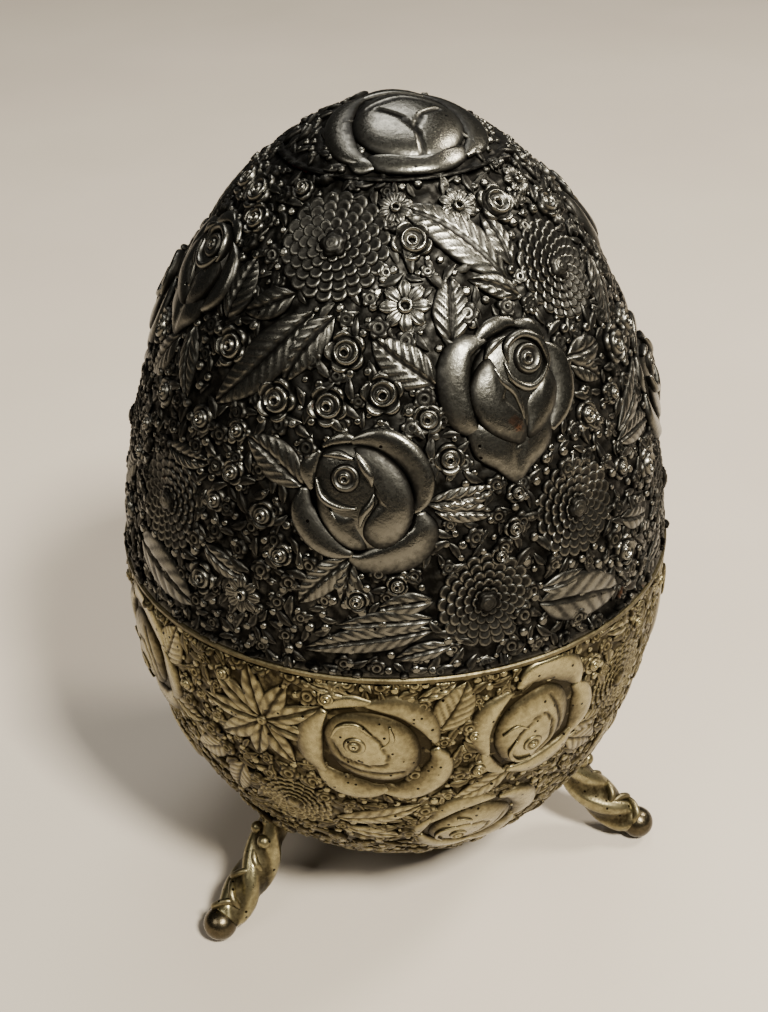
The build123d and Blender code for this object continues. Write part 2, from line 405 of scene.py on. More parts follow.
def upright_rose():
    """The large open rose with its heart above the middle and a notched petal below."""
    parts = [
        pad(
            [
                (-5.5, -2.2), (-3, -3.2), (-0.4, -3.8), (2, -3.8), (4.6, -4.2), (3.8, -6.9), (1.2, -8.7),
                (-0.9, -10.2), (-3.1, -8.2), (-5.3, -6),
            ],
            1.15, centre=(-0.8, -6.4), rings=16, around=72, fullness=3, edge=0.2,
            shape=lambda x, y, rho: (
                -0.3 * np.exp(-((near_line(x, y, [(-0.2, -5), (-0.8, -9)]) / 0.7) ** 2)), 1
            ),
        ),
        band(
            [(-1.6, 5.6), (-4.4, 5.2), (-5.9, 2.9), (-6.2, 0), (-5.6, -2.3), (-4.3, -3.9)],
            (0.5, 1.5, 1.95, 1.95, 1.7, 0.6), 1.2, lean=-0.3, steps=40, **BROAD,
        ),
        band(
            [(4.7, 4.1), (6.5, 2), (6.9, -0.9), (5.9, -3.3), (4.2, -5.2)], (0.4, 1.45, 1.7, 1.5, 0.6), 1.1,
            lean=-0.25, steps=38, **BROAD,
        ),
        band(
            [(-3, 5.3), (-1.1, 6.5), (1, 6.9), (2.5, 6.4)], (0.4, 0.95, 0.95, 0.4), 0.85, steps=26,
            across=10,
        ),
        band([(2, 6.6), (4, 6), (5.5, 4.3)], (0.4, 0.95, 0.4), 0.85, steps=20, across=10),
        pad(
            [
                (-4.5, 1), (-2.6, 4.4), (1.6, 6), (4.9, 4.2), (5.4, -0.7), (3.4, -4.4), (-0.2, -5.6),
                (-3.9, -2.8),
            ],
            1.45, rings=14, around=64, fullness=3.2, edge=0.12,
        ),
        pad(
            [
                (-2, 3.7), (-3.7, 2.6), (-4.7, 0.7), (-4.6, -1.4), (-3.8, -3.3), (-2.1, -4.9), (-0.2, -5.8),
                (0.7, -5.2), (0.9, -3.4), (0, -2), (-0.9, -0.7), (-0.6, 0.7), (-1.2, 2.1),
            ],
            0.95, centre=(-2.3, -1.2), rings=14, around=72, base=1, fullness=2, edge=0.12,
        ),
        pad(
            [
                (4.6, 1.4), (5.5, 0), (5.4, -1.6), (4.5, -3.3), (2.8, -4.9), (0.9, -5.5), (0.9, -3.7),
                (0.8, -1.9), (1.5, -0.8), (3, 0),
            ],
            0.75, centre=(2.9, -2.1), rings=12, around=56, base=0.9, fullness=2, edge=0.12,
        ),
        rose_eye(2.3, 2.7, 1.7, 1.2),
        band(
            [(0, 2.6), (0.2, 4.4), (2.1, 5.3), (4.1, 4.4), (4.8, 2.4), (4.6, 1)],
            (0.12, 0.45, 0.5, 0.5, 0.42, 0.12), 0.95, base=1, steps=34,
        ),
        band(
            [(-0.5, 2.9), (0.1, 0.9), (1.7, -0.2), (3.3, 0.3), (4.6, 1.7)], (0.12, 0.38, 0.46, 0.38, 0.12),
            0.95, base=1.15, steps=30,
        ),
        band([(-2.4, 3.6), (-1.3, 4.7), (0.3, 5.4)], (0.15, 0.5, 0.2), 0.85, base=0.95),
        band(
            [(-1.7, 2.6), (-1.1, 1.1), (0.1, -0.4), (0.5, -2), (0.6, -3.3)], (0.12, 0.42, 0.45, 0.35, 0.1),
            0.8, base=1.1, steps=28,
        ),
    ]
    return together(parts)


def tilted_rose():
    """The large rose whose broad ruffled petal closes over its heart from one side."""
    parts = [
        band(
            [(-1.4, 6), (1.9, 6.3), (4.6, 4.8), (6.2, 2.4), (6.3, 0.2), (5.3, -1.2)],
            (0.5, 1.35, 1.65, 1.6, 1.3, 0.45), 1.1, lean=-0.25, steps=40, **BROAD,
        ),
        band(
            [(6.2, -1.2), (6.6, -3.4), (5.5, -5.3), (3, -6.4), (0.3, -6.9), (-1.3, -6.5)],
            (0.6, 1.9, 2.15, 2, 1.6, 0.5), 1.1, lean=0.22, steps=42, **BROAD,
        ),
        band(
            [(-6.3, 0.9), (-6.4, -1.7), (-5.1, -3.9), (-3, -5.4), (-0.9, -6.1)],
            (0.5, 1.5, 1.75, 1.5, 0.45), 1.2, lean=0.28, steps=38, **BROAD,
        ),
        band([(-5.5, 0.7), (-5.9, 2.9), (-4.7, 5)], (0.4, 1.1, 0.4), 0.9, steps=22, across=10),
        band([(-4.4, 5.4), (-2.3, 6.3), (-0.3, 6.1)], (0.3, 0.8, 0.3), 0.8, steps=22, across=10),
        pad(
            [
                (-4.1, 5.1), (-5.2, 2.5), (-4.9, -0.6), (-3.1, -3.7), (-0.4, -5.4), (2.4, -5.4),
                (4.7, -3.2), (5.4, -0.5), (4.5, 2.7), (2.1, 5), (-0.6, 5.8),
            ],
            1.35, rings=14, around=64, fullness=3.4, edge=0.12,
        ),
        pad(
            [
                (-0.9, 5.5), (1.6, 5.2), (4.2, 3.1), (5.4, 0.2), (5.1, -2.4), (3.7, -4.4), (1.8, -5.1),
                (0.4, -4.1), (0.2, -2.7), (0.9, -1.2), (1.6, 0), (1.2, 1.2), (1.5, 2.6), (0.5, 3.7),
            ],
            1.05, centre=(2.9, -0.6), rings=16, around=84, base=0.95, fullness=2, edge=0.12,
        ),
        pad(
            [
                (-4.7, 0.9), (-3.5, -0.7), (-1.9, -1.4), (-0.2, -1.4), (-0.1, -2.8), (0.4, -4.3),
                (0.5, -5.3), (-1.2, -5.3), (-3, -4), (-4.5, -1.6),
            ],
            0.6, centre=(-2, -2.9), rings=10, around=52, base=0.85, fullness=2.2, edge=0.12,
        ),
        rose_eye(-1.7, 2.3, 1.55, 1.15),
        band(
            [(-4.7, 2.2), (-4, 0.2), (-2.3, -0.7), (-0.4, -0.8)], (0.12, 0.42, 0.42, 0.12), 1, base=1.1,
            steps=26,
        ),
        band([(-4, 4.6), (-2.6, 4.7), (-0.9, 4.3)], (0.2, 0.5, 0.2), 0.8, base=1),
        band(
            [(-0.6, 5.1), (0.2, 3.7), (0.9, 2.6), (1.1, 1.6)], (0.12, 0.5, 0.55, 0.12), 1, base=1.3,
            steps=24,
        ),
        band(
            [(1.3, 0.9), (1, -0.2), (0.2, -1.4), (-0.1, -2.8)], (0.12, 0.46, 0.4, 0.1), 0.9, base=1.2,
            steps=24,
        ),
    ]
    return together(parts)


def crown_rose():
    """The medallion's rose, measured from the crown: a closed bud with a forked fold, petals round it."""
    split = creased(
        ([(0.9, -11.2), (1, -8.2), (-0.4, -5.6), (-2.4, -3.7)], 0.3, 0.26),
        ([(0.9, -7.2), (2.1, -5.2), (4.3, -3.9)], 0.28, 0.24),
        ([(-3.4, -3), (0.6, -1.9), (4.8, -3)], 0.2, 0.22),
    )

    parts = [
        band([(-7.4, -9), (-6.2, -10.4), (-4.8, -11.2)], (0.4, 1.2, 0.4), 0.5, across=12, steps=26),
        band(
            [(-5.6, -10.6), (-7.3, -7.6), (-7.1, -3.4), (-5.2, 0), (-2.8, 1.6)], (0.5, 1.5, 1.7, 1.5, 0.5),
            0.66, across=14, steps=44, fullness=2.6, edge=0.2, lean=-0.2,
        ),
        band(
            [(6.3, -10.2), (8.4, -7.2), (8.6, -3), (6.7, 0.6), (4, 2)], (0.5, 1.5, 1.9, 1.6, 0.5), 0.66,
            across=14, steps=44, fullness=2.6, edge=0.2, lean=0.2,
        ),
        band([(-3.4, 1.4), (0.5, 2.7), (4.4, 1.8)], (0.5, 1.4, 0.5), 0.55, across=12, steps=30),
        pad(
            [
                (-5.4, -9.6), (-2.6, -10.4), (0.6, -10.8), (3.8, -10.2), (6.4, -8.9), (6.2, -10.9),
                (4, -12.6), (0.8, -13.3), (-2.6, -12.9), (-5, -11.6),
            ],
            0.72, centre=(0.6, -11.9), rings=12, around=80, fullness=2.8, edge=0.2,
        ),
        pad(
            [
                (-5.8, -7), (-5.4, -3.8), (-3.2, -1), (0.6, 0.1), (4.6, -0.8), (6.9, -3.4), (7, -6.8),
                (4.8, -10.1), (0.8, -11.5), (-3.6, -10.2),
            ],
            0.92, centre=(0.5, -5.8), rings=28, around=120, fullness=4, edge=0.15, shape=split,
        ),
    ]
    return together(parts)


def oval_rose():
    """The bowl's flatter rose: an oval bud set in a narrow groove, with an almond heart."""
    soft = {"across": 12, "fullness": 2.2, "edge": 0.12}
    bed = pad(
        [
            (-7, 0.6), (-5, 4.6), (-0.4, 5.8), (4.6, 4.2), (6.8, 0), (6.4, -4.6), (2.6, -7.2), (-2.4, -6.8),
            (-6.4, -3.8),
        ],
        0.12, rings=5, around=40, edge=0.9,
    )
    split = creased(
        (
            [(-4.5, 0.6), (-3.4, -1.5), (-0.6, -2.6), (1.5, -2.4), (1.9, -1.1), (0.8, 1.6), (-1.2, 3.5)],
            0.34, 0.2,
        ),
        ([(-4.3, -2.3), (-1.4, -3.6), (1.4, -3.9), (3.6, -3.7)], 0.22, 0.24),
    )

    parts = [
        bed.shone(0.1),
        band(
            [(-5.4, 4.9), (-7.2, 1.6), (-7.3, -2.4), (-5.8, -5.2)], (0.5, 1.6, 1.7, 0.6), 1.05, steps=28,
            lean=-0.25, **soft,
        ),
        band(
            [(-6.6, -4.2), (-4.1, -6.9), (-0.6, -7.9), (1.6, -7.4)], (0.5, 1.8, 1.8, 0.6), 1, steps=28,
            lean=0.25, **soft,
        ),
        band(
            [(1, -7.9), (4.2, -7.7), (6.9, -5.7), (7.9, -2.9), (7.1, -0.6)], (0.5, 1.9, 2.1, 1.8, 0.6),
            1.05, steps=30, lean=0.25, **soft,
        ),
        band(
            [(-0.8, 6.4), (3.5, 6), (6.2, 3.8), (7.4, 0.4)], (0.5, 1.5, 1.6, 0.5), 1.05, steps=28,
            lean=0.25, **soft,
        ),
        band([(-5.4, 5.4), (-2.8, 6.6), (0.2, 6.5)], (0.4, 1, 0.4), 0.85, steps=22, **soft),
        pad(
            [
                (-5.6, 1), (-4.6, 3.8), (-2, 5), (1.5, 4.7), (4.4, 2.7), (5.5, -0.5), (5, -3.9),
                (2.7, -5.7), (-0.7, -5.5), (-4, -3.4),
            ],
            1.5, rings=22, around=72, fullness=2.3, edge=0.06, shape=split,
        ),
        rose_eye(-1.9, 0.7, 1.3, 1.1),
        band(
            [(-4.6, 1.5), (-3.6, 3.3), (-1.7, 3.7), (0, 2.3)], (0.08, 0.24, 0.28, 0.1), 0.4, base=1.15,
            steps=30,
        ),
        band([(0.9, 0.4), (2.2, 1.6), (2, 3.6)], (0.1, 0.34, 0.1), 0.4, base=1.2),
    ]
    return together(parts)


def small_rose():
    """A small open rose: pierced coil, cup and a ring of lobes."""
    lobes = disc(
        2.5, [(0, 0.5), (0.55, 0.55), (0.66, 0.5), (0.76, 0.85), (0.86, 1), (0.95, 0.8), (1, 0.3)],
        lobes=5, depth=0.2, rings=12, around=45, height=0.95, fold=0.6,
    )
    cup = disc(
        1.5,
        [
            (0, 0.35), (0.12, 0.38), (0.26, 0.95), (0.38, 1), (0.5, 0.6), (0.62, 0.7), (0.8, 1.05),
            (0.92, 0.9), (1, 0.2),
        ],
        rings=14, around=30, height=1.15, twist=0.08,
    )
    return together([lobes, cup.turned(0, 0.08, -0.05, 0)])


def rose_bud():
    """A small bud: a coiled tip in a cup of four short petals."""
    cup = disc(
        1.6, [(0, 0.4), (0.6, 0.45), (0.72, 0.85), (0.86, 0.9), (1, 0.25)], lobes=4, depth=0.12, rings=9,
        around=32, height=0.8, fold=0.3,
    )
    tip = disc(
        0.98, [
            (0, 0.5), (0.14, 0.6), (0.3, 1), (0.45, 0.95), (0.56, 0.66), (0.72, 0.85), (0.86, 0.75),
            (1, 0.15),
        ],
        rings=13, around=26, height=1.2, twist=0.07,
    )
    return together([cup, tip])


def blossom():
    """An open flower with a raised ring in the middle and ridged petals."""
    parts = [
        disc(
            0.95, [(0, 0.35), (0.25, 0.4), (0.5, 1), (0.75, 1), (1, 0.35)], rings=8, around=26, height=1.05
        )
    ]
    for k in range(8):
        petal = band(
            [(0, 0.7), (0, 1.7), (0, 2.7)], (0.35, 0.75, 0.85, 0.35), 0.72, steps=12, across=12,
            shape=lambda t, s, w: (0.16 * np.cos(s * math.pi * 3), 0.75 + 0.35 * np.cos(s * math.pi * 3)),
        )
        parts.append(petal.turned(45.0 * k))
    return together(parts)


# spacing of a leaf's side veins, their depth, and how full its outline is
LEAF_STYLES = {
    "veined": (1.3, 0.15, 0.8),
    "ribbed": (1.15, 0.27, 0.7),
    "broad": (2.2, 0.14, 0.65),
    "lance": (1.6, 0.08, 0.9),
}


def leaf(length, half, style, bend=0):
    """A leaf from its stem at the origin to its tip along +Y, with a midrib and side veins."""
    spacing, strength, fullness = LEAF_STYLES[style]

    def veins(t, s, w):
        rib = np.exp(-((s * w / 0.16) ** 2))
        phase = (t * length - np.abs(s) * w * 1.05) / spacing + 0.25 * np.sign(s)
        fold = (0.5 + 0.5 * np.cos(2 * math.pi * phase)) ** 1.6
        reach = smooth(np.abs(s), 0.04, 0.16) * (1 - 0.7 * smooth(np.abs(s), 0.72, 1))
        groove = fold * reach
        return -strength * groove - 0.6 * rib - 0.12 * (1 - np.abs(s)), 1 - 0.9 * rib - 0.45 * groove

    t = np.linspace(0, 1, 9)
    outline = half * np.sin(math.pi * t**0.85) ** fullness
    outline[0], outline[-1] = 0.2, 0.05
    steps = int(max(18, length * 6))
    path = [(0, 0), (bend * 0.7, length * 0.33), (bend, length * 0.66), (bend * 0.4, length)]
    return band(path, outline, 0.85, steps=steps, across=22, fullness=3.4, edge=0.3, shape=veins)


def lily():
    """The bowl's open star flower, its lance petals of uneven length."""
    parts = [disc(0.55, [(0, 0.6), (0.6, 1), (1, 0.5)], rings=5, around=14, height=0.8)]
    petals = [
        (12, 6.4, 1.2), (-28, 5.6, 1.15), (-62, 6.6, 1.1), (-100, 5.4, 1), (-150, 5.4, 1.2), (168, 5, 1.1),
        (128, 6.4, 1.25), (88, 6.8, 1.1), (52, 6.6, 1.2),
    ]
    for turn, length, half in petals:
        a = math.radians(turn)
        petal = leaf(length, half, "lance").scaled(1, 0.95)
        parts.append(petal.turned(turn, -0.35 * math.sin(a), 0.35 * math.cos(a)))
    return together(parts)


# ---------------------------------------------------------------- layouts


# azimuth and height of each motif's middle, its turn, its size and its kind
LID_LARGE_ROSES = [
    (9.1, 76.3, 0, 1, "upright"),
    (-24, 66.9, 0, 1, "tilted"),
    (-86, 84, 10, 0.86, "upright"),
]
LID_DAHLIAS = [
    (-37.3, 89.6, 0, 1.02),
    (-0.4, 54.9, 15, 0.92),
    (21, 62.3, 8, 0.92),
    (37, 85, 20, 0.95),
    (-70, 60.5, 5, 0.95),
]
LID_SMALL_ROSES = [
    (-29.3, 80.7, 0, 0.95),
    (-44.6, 75.4, 40, 1),
    (-32.3, 75.7, 20, 0.95),
    (-20.2, 77, 60, 0.98),
    (-11.2, 90.1, 10, 0.95),
    (25.6, 91.8, 30, 1),
    (-60.4, 79, 15, 0.95),
    (-72.3, 89.9, 5, 0.8),
    (48, 61, 0, 0.95),
    (34, 54, 35, 0.85),
]
LID_BUDS = [
    (-10.4, 74.6, 0, 1.15),
    (-6.3, 70.6, 50, 1.15),
    (28.5, 71.1, 0, 1.1),
    (-55.9, 63.6, 0, 0.95),
    (-44.3, 63.7, 30, 1.1),
    (-52.4, 67.2, 80, 1),
    (-40, 59.8, 20, 0.95),
    (-24.8, 55.8, 60, 0.95),
    (-17.3, 57.7, 10, 0.85),
    (-52.8, 71.5, 0, 0.85),
    (7.2, 66.1, 0, 0.8),
    (6, 62.4, 40, 0.85),
    (-58.5, 93.3, 0, 0.9),
    (2.6, 59.8, 0, 0.75),
]
LID_BLOSSOMS = [
    (-14.4, 84.8, 0, 1),
    (8.9, 92.4, 10, 0.8),
    (-16.4, 92.7, 20, 0.72),
    (-48, 54, 0, 0.85),
]
# azimuth and height of a leaf's stem, the same of its tip, half width, style and bend
LID_LEAVES = [
    (-40.4, 84.2, -63, 73.3, 2.6, "veined", -0.8),
    (-33.7, 83.8, -43.6, 77, 2, "veined", 0.5),
    (-46, 85.2, -60.5, 82.6, 1.7, "veined", -0.4),
    (19.6, 86.1, -14, 93.2, 2.5, "veined", 0.9),
    (20.4, 86.8, 16.6, 91.6, 1.5, "veined", 0.3),
    (19.2, 84.1, 4.7, 86.5, 1.3, "veined", 0.3),
    (-3.3, 81.2, -1.6, 87.2, 2.1, "ribbed", 0.2),
    (-7.4, 77.6, -22.5, 82.3, 2.3, "ribbed", -0.3),
    (-36, 67.6, -50.6, 71.2, 2.3, "veined", 0.5),
    (-11.2, 66.4, 3.2, 67.4, 1.35, "ribbed", 0.4),
    (-9.8, 65.6, 2.2, 64.4, 1.3, "ribbed", -0.2),
    (-26.7, 60.5, -36, 54.6, 1.7, "ribbed", 0.3),
    (-26, 60.2, -27.5, 55.4, 1.2, "ribbed", 0),
    (-10.6, 55.8, -21.2, 54.8, 1.4, "lance", 0.3),
    (-10.6, 52.4, -35.4, 48.9, 1.7, "veined", 0.6),
    (-7.4, 50.2, -18, 48.6, 1.2, "veined", 0.3),
    (-10.6, 53.6, -29, 52.4, 1.5, "lance", 0.4),
    (10.6, 53, 32, 49.6, 3, "broad", -0.5),
    (11.2, 54.6, 22, 55, 1.3, "lance", 0.3),
    (27.6, 77.4, 40.5, 77.2, 1.7, "broad", 0.3),
    (28, 76.6, 36.5, 73.6, 1.5, "ribbed", -0.3),
    (38, 67.5, 56, 72.6, 1.8, "lance", 0.8),
    (37, 66.5, 55, 65, 1.6, "veined", -0.5),
    (-58, 58, -47, 56, 1.4, "veined", 0.3),
    (-76, 79, -70, 72, 1.8, "veined", 0.4),
    (-82, 77, -92, 71, 1.9, "veined", -0.4),
]
BOWL_ROSES = [(-22.3, 36.5, 0, 1), (9.4, 36.2, 112, 0.95), (-0.7, 19.6, 62, 0.86)]
BOWL_LILIES = [(-44.6, 37.6, 0, 1.25)]
BOWL_DAHLIAS = [(-41, 23.6, 0, 0.8), (34, 36, 10, 0.85)]
BOWL_BUDS = [
    (-2.6, 37.4, 0, 0.85),
    (-1.2, 31.4, 30, 0.9),
    (-30.6, 43.2, 0, 0.85),
    (-53, 42.6, 0, 0.8),
    (24, 41.6, 0, 0.9),
]
BOWL_LEAVES = [
    (-9.6, 38.6, -4.4, 45.2, 2.4, "ribbed", 0.3),
    (-13.6, 43.4, -6.2, 45.4, 0.9, "ribbed", 0.1),
    (-31.5, 21.6, -11.5, 25.8, 1.7, "lance", 0.4),
    (-30.5, 19.6, -15.5, 17.6, 1.4, "lance", -0.3),
    (-26, 43.6, -34.5, 44.6, 1, "lance", 0.2),
    (20, 31, 30, 27, 2, "veined", -0.4),
    (21, 33, 30, 32.4, 1.6, "ribbed", 0.3),
    (-52, 28, -58, 20, 1.8, "veined", 0.4),
    (-56, 30, -68, 26, 1.8, "veined", -0.3),
]
# what the crown's rose covers: across and along from the crown, and radius; and the rose's turn
CROWN_COVERED = [
    (0.5, -5.8, 6.6), (-7.2, -5, 2), (8.4, -5, 2.1), (0.6, -12, 1.8), (-3, -11.8, 1.5),
    (4, -11.8, 1.5), (-6.4, -10.8, 1.5), (6.2, -9.8, 1.4), (0.5, 2.2, 1.7), (-4.4, 0.6, 1.6),
    (5.8, 1.2, 1.6), (-7, -2.2, 1.5), (8.2, -1.6, 1.6),
]
CROWN_TURN = -3.5
HINGE_KEEPOUT = [(172, 46.5, 6.5), (180, 46.5, 7), (188, 46.5, 6.5)]
FOOT_KEEPOUT = [(azimuth, 10, 5.5) for azimuth in FOOT_AZIMUTHS.values()]
# how close two motifs may come, against the sum of what they cover
OVERLAP = 0.86
# turns, in degrees, at which the front's motifs are tried again round the egg
REPEATS = (124, -124, 176, 92, -92, 150, -150, 62, -62, 108, -108)


def spots(places):
    """Where places of azimuth, height and radius lie in the frame, in mm."""
    p = np.array(places, float).reshape(-1, 3)
    return EGG.place(np.radians(p[:, 0]), EGG.run(p[:, 1]), 0.0), p[:, 2]


def span_of(item):
    """A leaf's length, its turn and the middle between its two ends."""
    a0, h0, a1, h1 = item[:4]
    height = float(np.interp((EGG.run(h0) + EGG.run(h1)) / 2, EGG.s, EGG.z))
    across = math.radians(a1 - a0) * float(EGG.radius(height))
    up = float(EGG.run(h0) - EGG.run(h1))
    return math.hypot(across, up), math.degrees(math.atan2(-across, up)), ((a0 + a1) / 2, height)


def round_reach(radius):
    """What a round motif of that radius covers."""
    return lambda item: [(item[0], item[1], radius * item[3])]


def leaf_reach(item):
    """What a leaf covers, as a row of circles from its stem to its tip."""
    length, half = span_of(item)[0], item[4]
    steps = max(2, int(length / (half * 1.5)))
    t = (np.arange(steps) + 0.5) / steps
    runs = EGG.run(item[1]) * (1 - t) + EGG.run(item[3]) * t
    heights = np.interp(runs, EGG.s, EGG.z)
    return [(item[0] * (1 - k) + item[2] * k, h, half * 0.95) for k, h in zip(t, heights)]


def shifted(item, shift):
    """A motif moved round the egg; a leaf has both its ends moved."""
    if isinstance(item[5] if len(item) > 5 else None, str):
        return (item[0] + shift, item[1], item[2] + shift) + tuple(item[3:])
    return (item[0] + shift,) + tuple(item[1:])


def round_the_egg(groups, blocked):
    """Every group as listed for the front, then repeated round the egg wherever its motifs find room."""
    taken = list(blocked)
    plan = {}
    for name, (items, reach) in groups.items():
        plan[name] = list(items)
        for item in items:
            taken += reach(item)
    for name, (items, reach) in groups.items():
        for shift in REPEATS:
            for item in items:
                moved = shifted(item, shift)
                at, size = spots(reach(moved))
                there, held = spots(taken)
                gap = np.linalg.norm(
                    at[:, None] - there[None], axis=2
                ) - OVERLAP * (size[:, None] + held[None])
                if gap.min() > 0:
                    taken += reach(moved)
                    plan[name].append(moved)
    return plan, taken


LID_PLAN, LID_TAKEN = round_the_egg(
    {
        "roses": (LID_LARGE_ROSES, round_reach(7.6)),
        "dahlias": (LID_DAHLIAS, round_reach(6.3)),
        "leaves": (LID_LEAVES, leaf_reach),
        "small": (LID_SMALL_ROSES, round_reach(2.4)),
        "blossoms": (LID_BLOSSOMS, round_reach(2.6)),
        "buds": (LID_BUDS, round_reach(1.4)),
    },
    HINGE_KEEPOUT,
)
BOWL_PLAN, BOWL_TAKEN = round_the_egg(
    {
        "roses": (BOWL_ROSES, round_reach(7.6)),
        "lilies": (BOWL_LILIES, round_reach(5.6)),
        "dahlias": (BOWL_DAHLIAS, round_reach(6.2)),
        "leaves": (BOWL_LEAVES, leaf_reach),
        "buds": (BOWL_BUDS, round_reach(1.3)),
    },
    HINGE_KEEPOUT + FOOT_KEEPOUT,
)


def kept_clear(work):
    """Work on either half held a hair short of the seam."""
    points = work.points.copy()
    half = "lid" if points[:, 2].mean() > (BOWL_TOP + LID_FOOT) / 2 else "bowl"
    points[:, 2] = np.clip(points[:, 2], *CLEAR[half])
    return work.moved(points)


def laid_leaf(item, depth, relief):
    """A leaf laid on the egg between its two ends, its ground a depth below the body's outline."""
    length, turn, middle = span_of(item)
    work = leaf(length, item[4], item[5], item[6]).scaled(1, relief)
    return kept_clear(work.turned(0, 0, -length / 2, -depth).on_egg(*middle, turn))


def laid_round(items, motif, depth, relief):
    """One round motif laid at each place in a list."""
    flat = [motif.scaled(item[3], relief).turned(0, 0, 0, -depth) for item in items]
    return [kept_clear(work.on_egg(*item[:3])) for work, item in zip(flat, items)]


# ---------------------------------------------------------------- meshes in Blender


def make_mesh(name, work):
    """A Blender mesh in metres from a work in millimetres, with its brightness, rubbing plus painted shade
    and painted highlights, on every point.
    """
    mesh = bpy.data.meshes.new(name)
    corners = np.concatenate([work.quads.ravel(), work.tris.ravel()]).astype(np.int32)
    totals = np.concatenate([np.full(len(work.quads), 4), np.full(len(work.tris), 3)]).astype(np.int32)
    starts = np.concatenate([[0], np.cumsum(totals)[:-1]]).astype(np.int32)
    mesh.vertices.add(len(work.points))
    mesh.vertices.foreach_set("co", (work.points * MM).astype(np.float32).ravel())
    mesh.loops.add(len(corners))
    mesh.loops.foreach_set("vertex_index", corners)
    mesh.polygons.add(len(totals))
    mesh.polygons.foreach_set("loop_start", starts)
    mesh.polygons.foreach_set("loop_total", totals)
    mesh.update(calc_edges=True)
    mesh.validate()
    mesh.attributes.new("rub_and_shading", "FLOAT", "POINT").data.foreach_set("value", work.rub_and_shading.astype(np.float32))
    mesh.polygons.foreach_set("use_smooth", np.full(len(mesh.polygons), True))
    return mesh


def add_piece(name, mesh, body, finish):
    """Puts a finished mesh in the scene as a piece that rides on a body."""
    mesh.materials.clear()
    mesh.materials.append(bpy.data.materials[finish])
    obj = bpy.data.objects.new(name, mesh)
    bpy.context.scene.collection.objects.link(obj)
    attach(obj, body)
    return obj


def add_work(name, works, body, slot, finish):
    """Puts works in the scene as one piece."""
    return add_piece(name, make_mesh(name, together(works)), body, finish)


def ripple(at, wavelength, seed):
    """A smooth random ripple between -1 and 1 over points in mm, like fine punch work."""
    rng = np.random.default_rng(seed)
    wave = np.zeros(len(at))
    for _ in range(RIPPLE_WAVES):
        way = rng.normal(size=3)
        way *= 2 * math.pi / (wavelength * rng.uniform(0.7, 1.8)) / np.linalg.norm(way)
        wave += np.sin(at @ way + rng.uniform(0, 2 * math.pi))
    return np.clip(wave / RIPPLE_HEIGHT, -1, 1)


def egg_shell(high, low, rows, inner_rows, around, surface):
    """A closed thick band of the egg's skin between two heights; an end at a pole closes over it."""
    top, bottom = float(EGG.run(high)), float(EGG.run(low))
    pole_top, pole_bottom = high >= EGG_HEIGHT, low <= 0
    azimuth = np.linspace(0, 2 * math.pi, around, endpoint=False)

    def layer(count, lift_of):
        runs = np.linspace(top + 0.35 * pole_top, bottom - 0.35 * pole_bottom, count)
        a, s = np.meshgrid(azimuth, runs)
        a, s = a.ravel(), s.ravel()
        if pole_top:
            a, s = np.append(a, 0.0), np.append(s, top)
        if pole_bottom:
            a, s = np.append(a, 0.0), np.append(s, bottom)
        lift, rub_and_shading = lift_of(a, s)
        return EGG.place(a, s, lift), rub_and_shading

    outer, rub_and_shading = layer(rows, surface)
    inner, dull = layer(inner_rows, lambda a, s: (np.full(len(a), -WALL), np.zeros(len(a))))
    inner[:, 2] = np.clip(inner[:, 2], low + GAP, high + GAP)
    i = np.arange(around)
    j = (i + 1) % around
    start = len(outer)
    quads, tris = [walls(0, rows, i, j), walls(start, inner_rows, j, i)], [np.zeros((0, 3), int)]
    last_out, last_in = (rows - 1) * around, start + (inner_rows - 1) * around
    if pole_top:
        pole_out, pole_in = rows * around, start + inner_rows * around
        tris.append(np.column_stack([np.full(around, pole_out), i, j]))
        tris.append(np.column_stack([np.full(around, pole_in), start + j, start + i]))
    else:
        quads.append(np.column_stack([i, j, start + j, start + i]))
    if pole_bottom:
        pole_out, pole_in = start - 1, start + len(inner) - 1
        tris.append(np.column_stack([np.full(around, pole_out), last_out + j, last_out + i]))
        tris.append(np.column_stack([np.full(around, pole_in), last_in + i, last_in + j]))
    else:
        quads.append(np.column_stack([last_out + j, last_out + i, last_in + i, last_in + j]))
    return Work(np.vstack([outer, inner]), np.vstack(quads), np.vstack(tris), np.concatenate([rub_and_shading, dull]))


def chased_surface(depth, amount, wavelength, seed, end, side=1, lip=(0.32, 0.06, 0.75)):
    """A ground's lift and rub: punched, flat under the hinge, and with a plain lip where it ends.

    The lip's numbers are its width, how far it lies under the outline, and how bright it is.
    """
    width, sunk, bright = lip

    def surface(azimuth, run):
        at = EGG.place(azimuth, run, 0.0)
        wave = ripple(at, wavelength, seed)
        edge = smooth(side * (run - end), -width, 0.2 - width)
        seat = (1 - smooth(np.abs(at[:, 0]), SEAT_ACROSS, SEAT_ACROSS + 1.1)) * (at[:, 1] > 0)
        seat = seat * (1 - smooth(np.abs(at[:, 2] - LID_FOOT), SEAT_UP, SEAT_UP + 1))
        lift = (-depth + amount * wave) * (1 - edge) - sunk * edge
        rub_and_shading = (0.1 + 0.3 * np.clip(wave + 0.2, 0, 1)) * (1 - edge) + bright * edge
        return lift * (1 - seat) - 0.02 * seat, rub_and_shading

    return surface


def free_of(work, centres, reaches, near, far):
    """How free of round motifs each point of a ground is, from 0 to 1."""
    free = np.ones(len(work.points))
    for centre, reach in zip(centres, reaches):
        free = np.minimum(
            free, smooth(np.linalg.norm(work.points - centre, axis=1), reach * near, reach * far)
        )
    return free


def free_ground(work, taken, low, high):
    """How free each point of a half's ground is, between two heights and on its outer face."""
    free = free_of(work, *spots(taken), 0.85, 1.02)
    height = work.points[:, 2] - GAP
    outside = np.hypot(work.points[:, 0], work.points[:, 1]) > EGG.radius(height) - 1.2
    return free * outside * (height > low) * (height < high)


# ---------------------------------------------------------------- Geometry Nodes


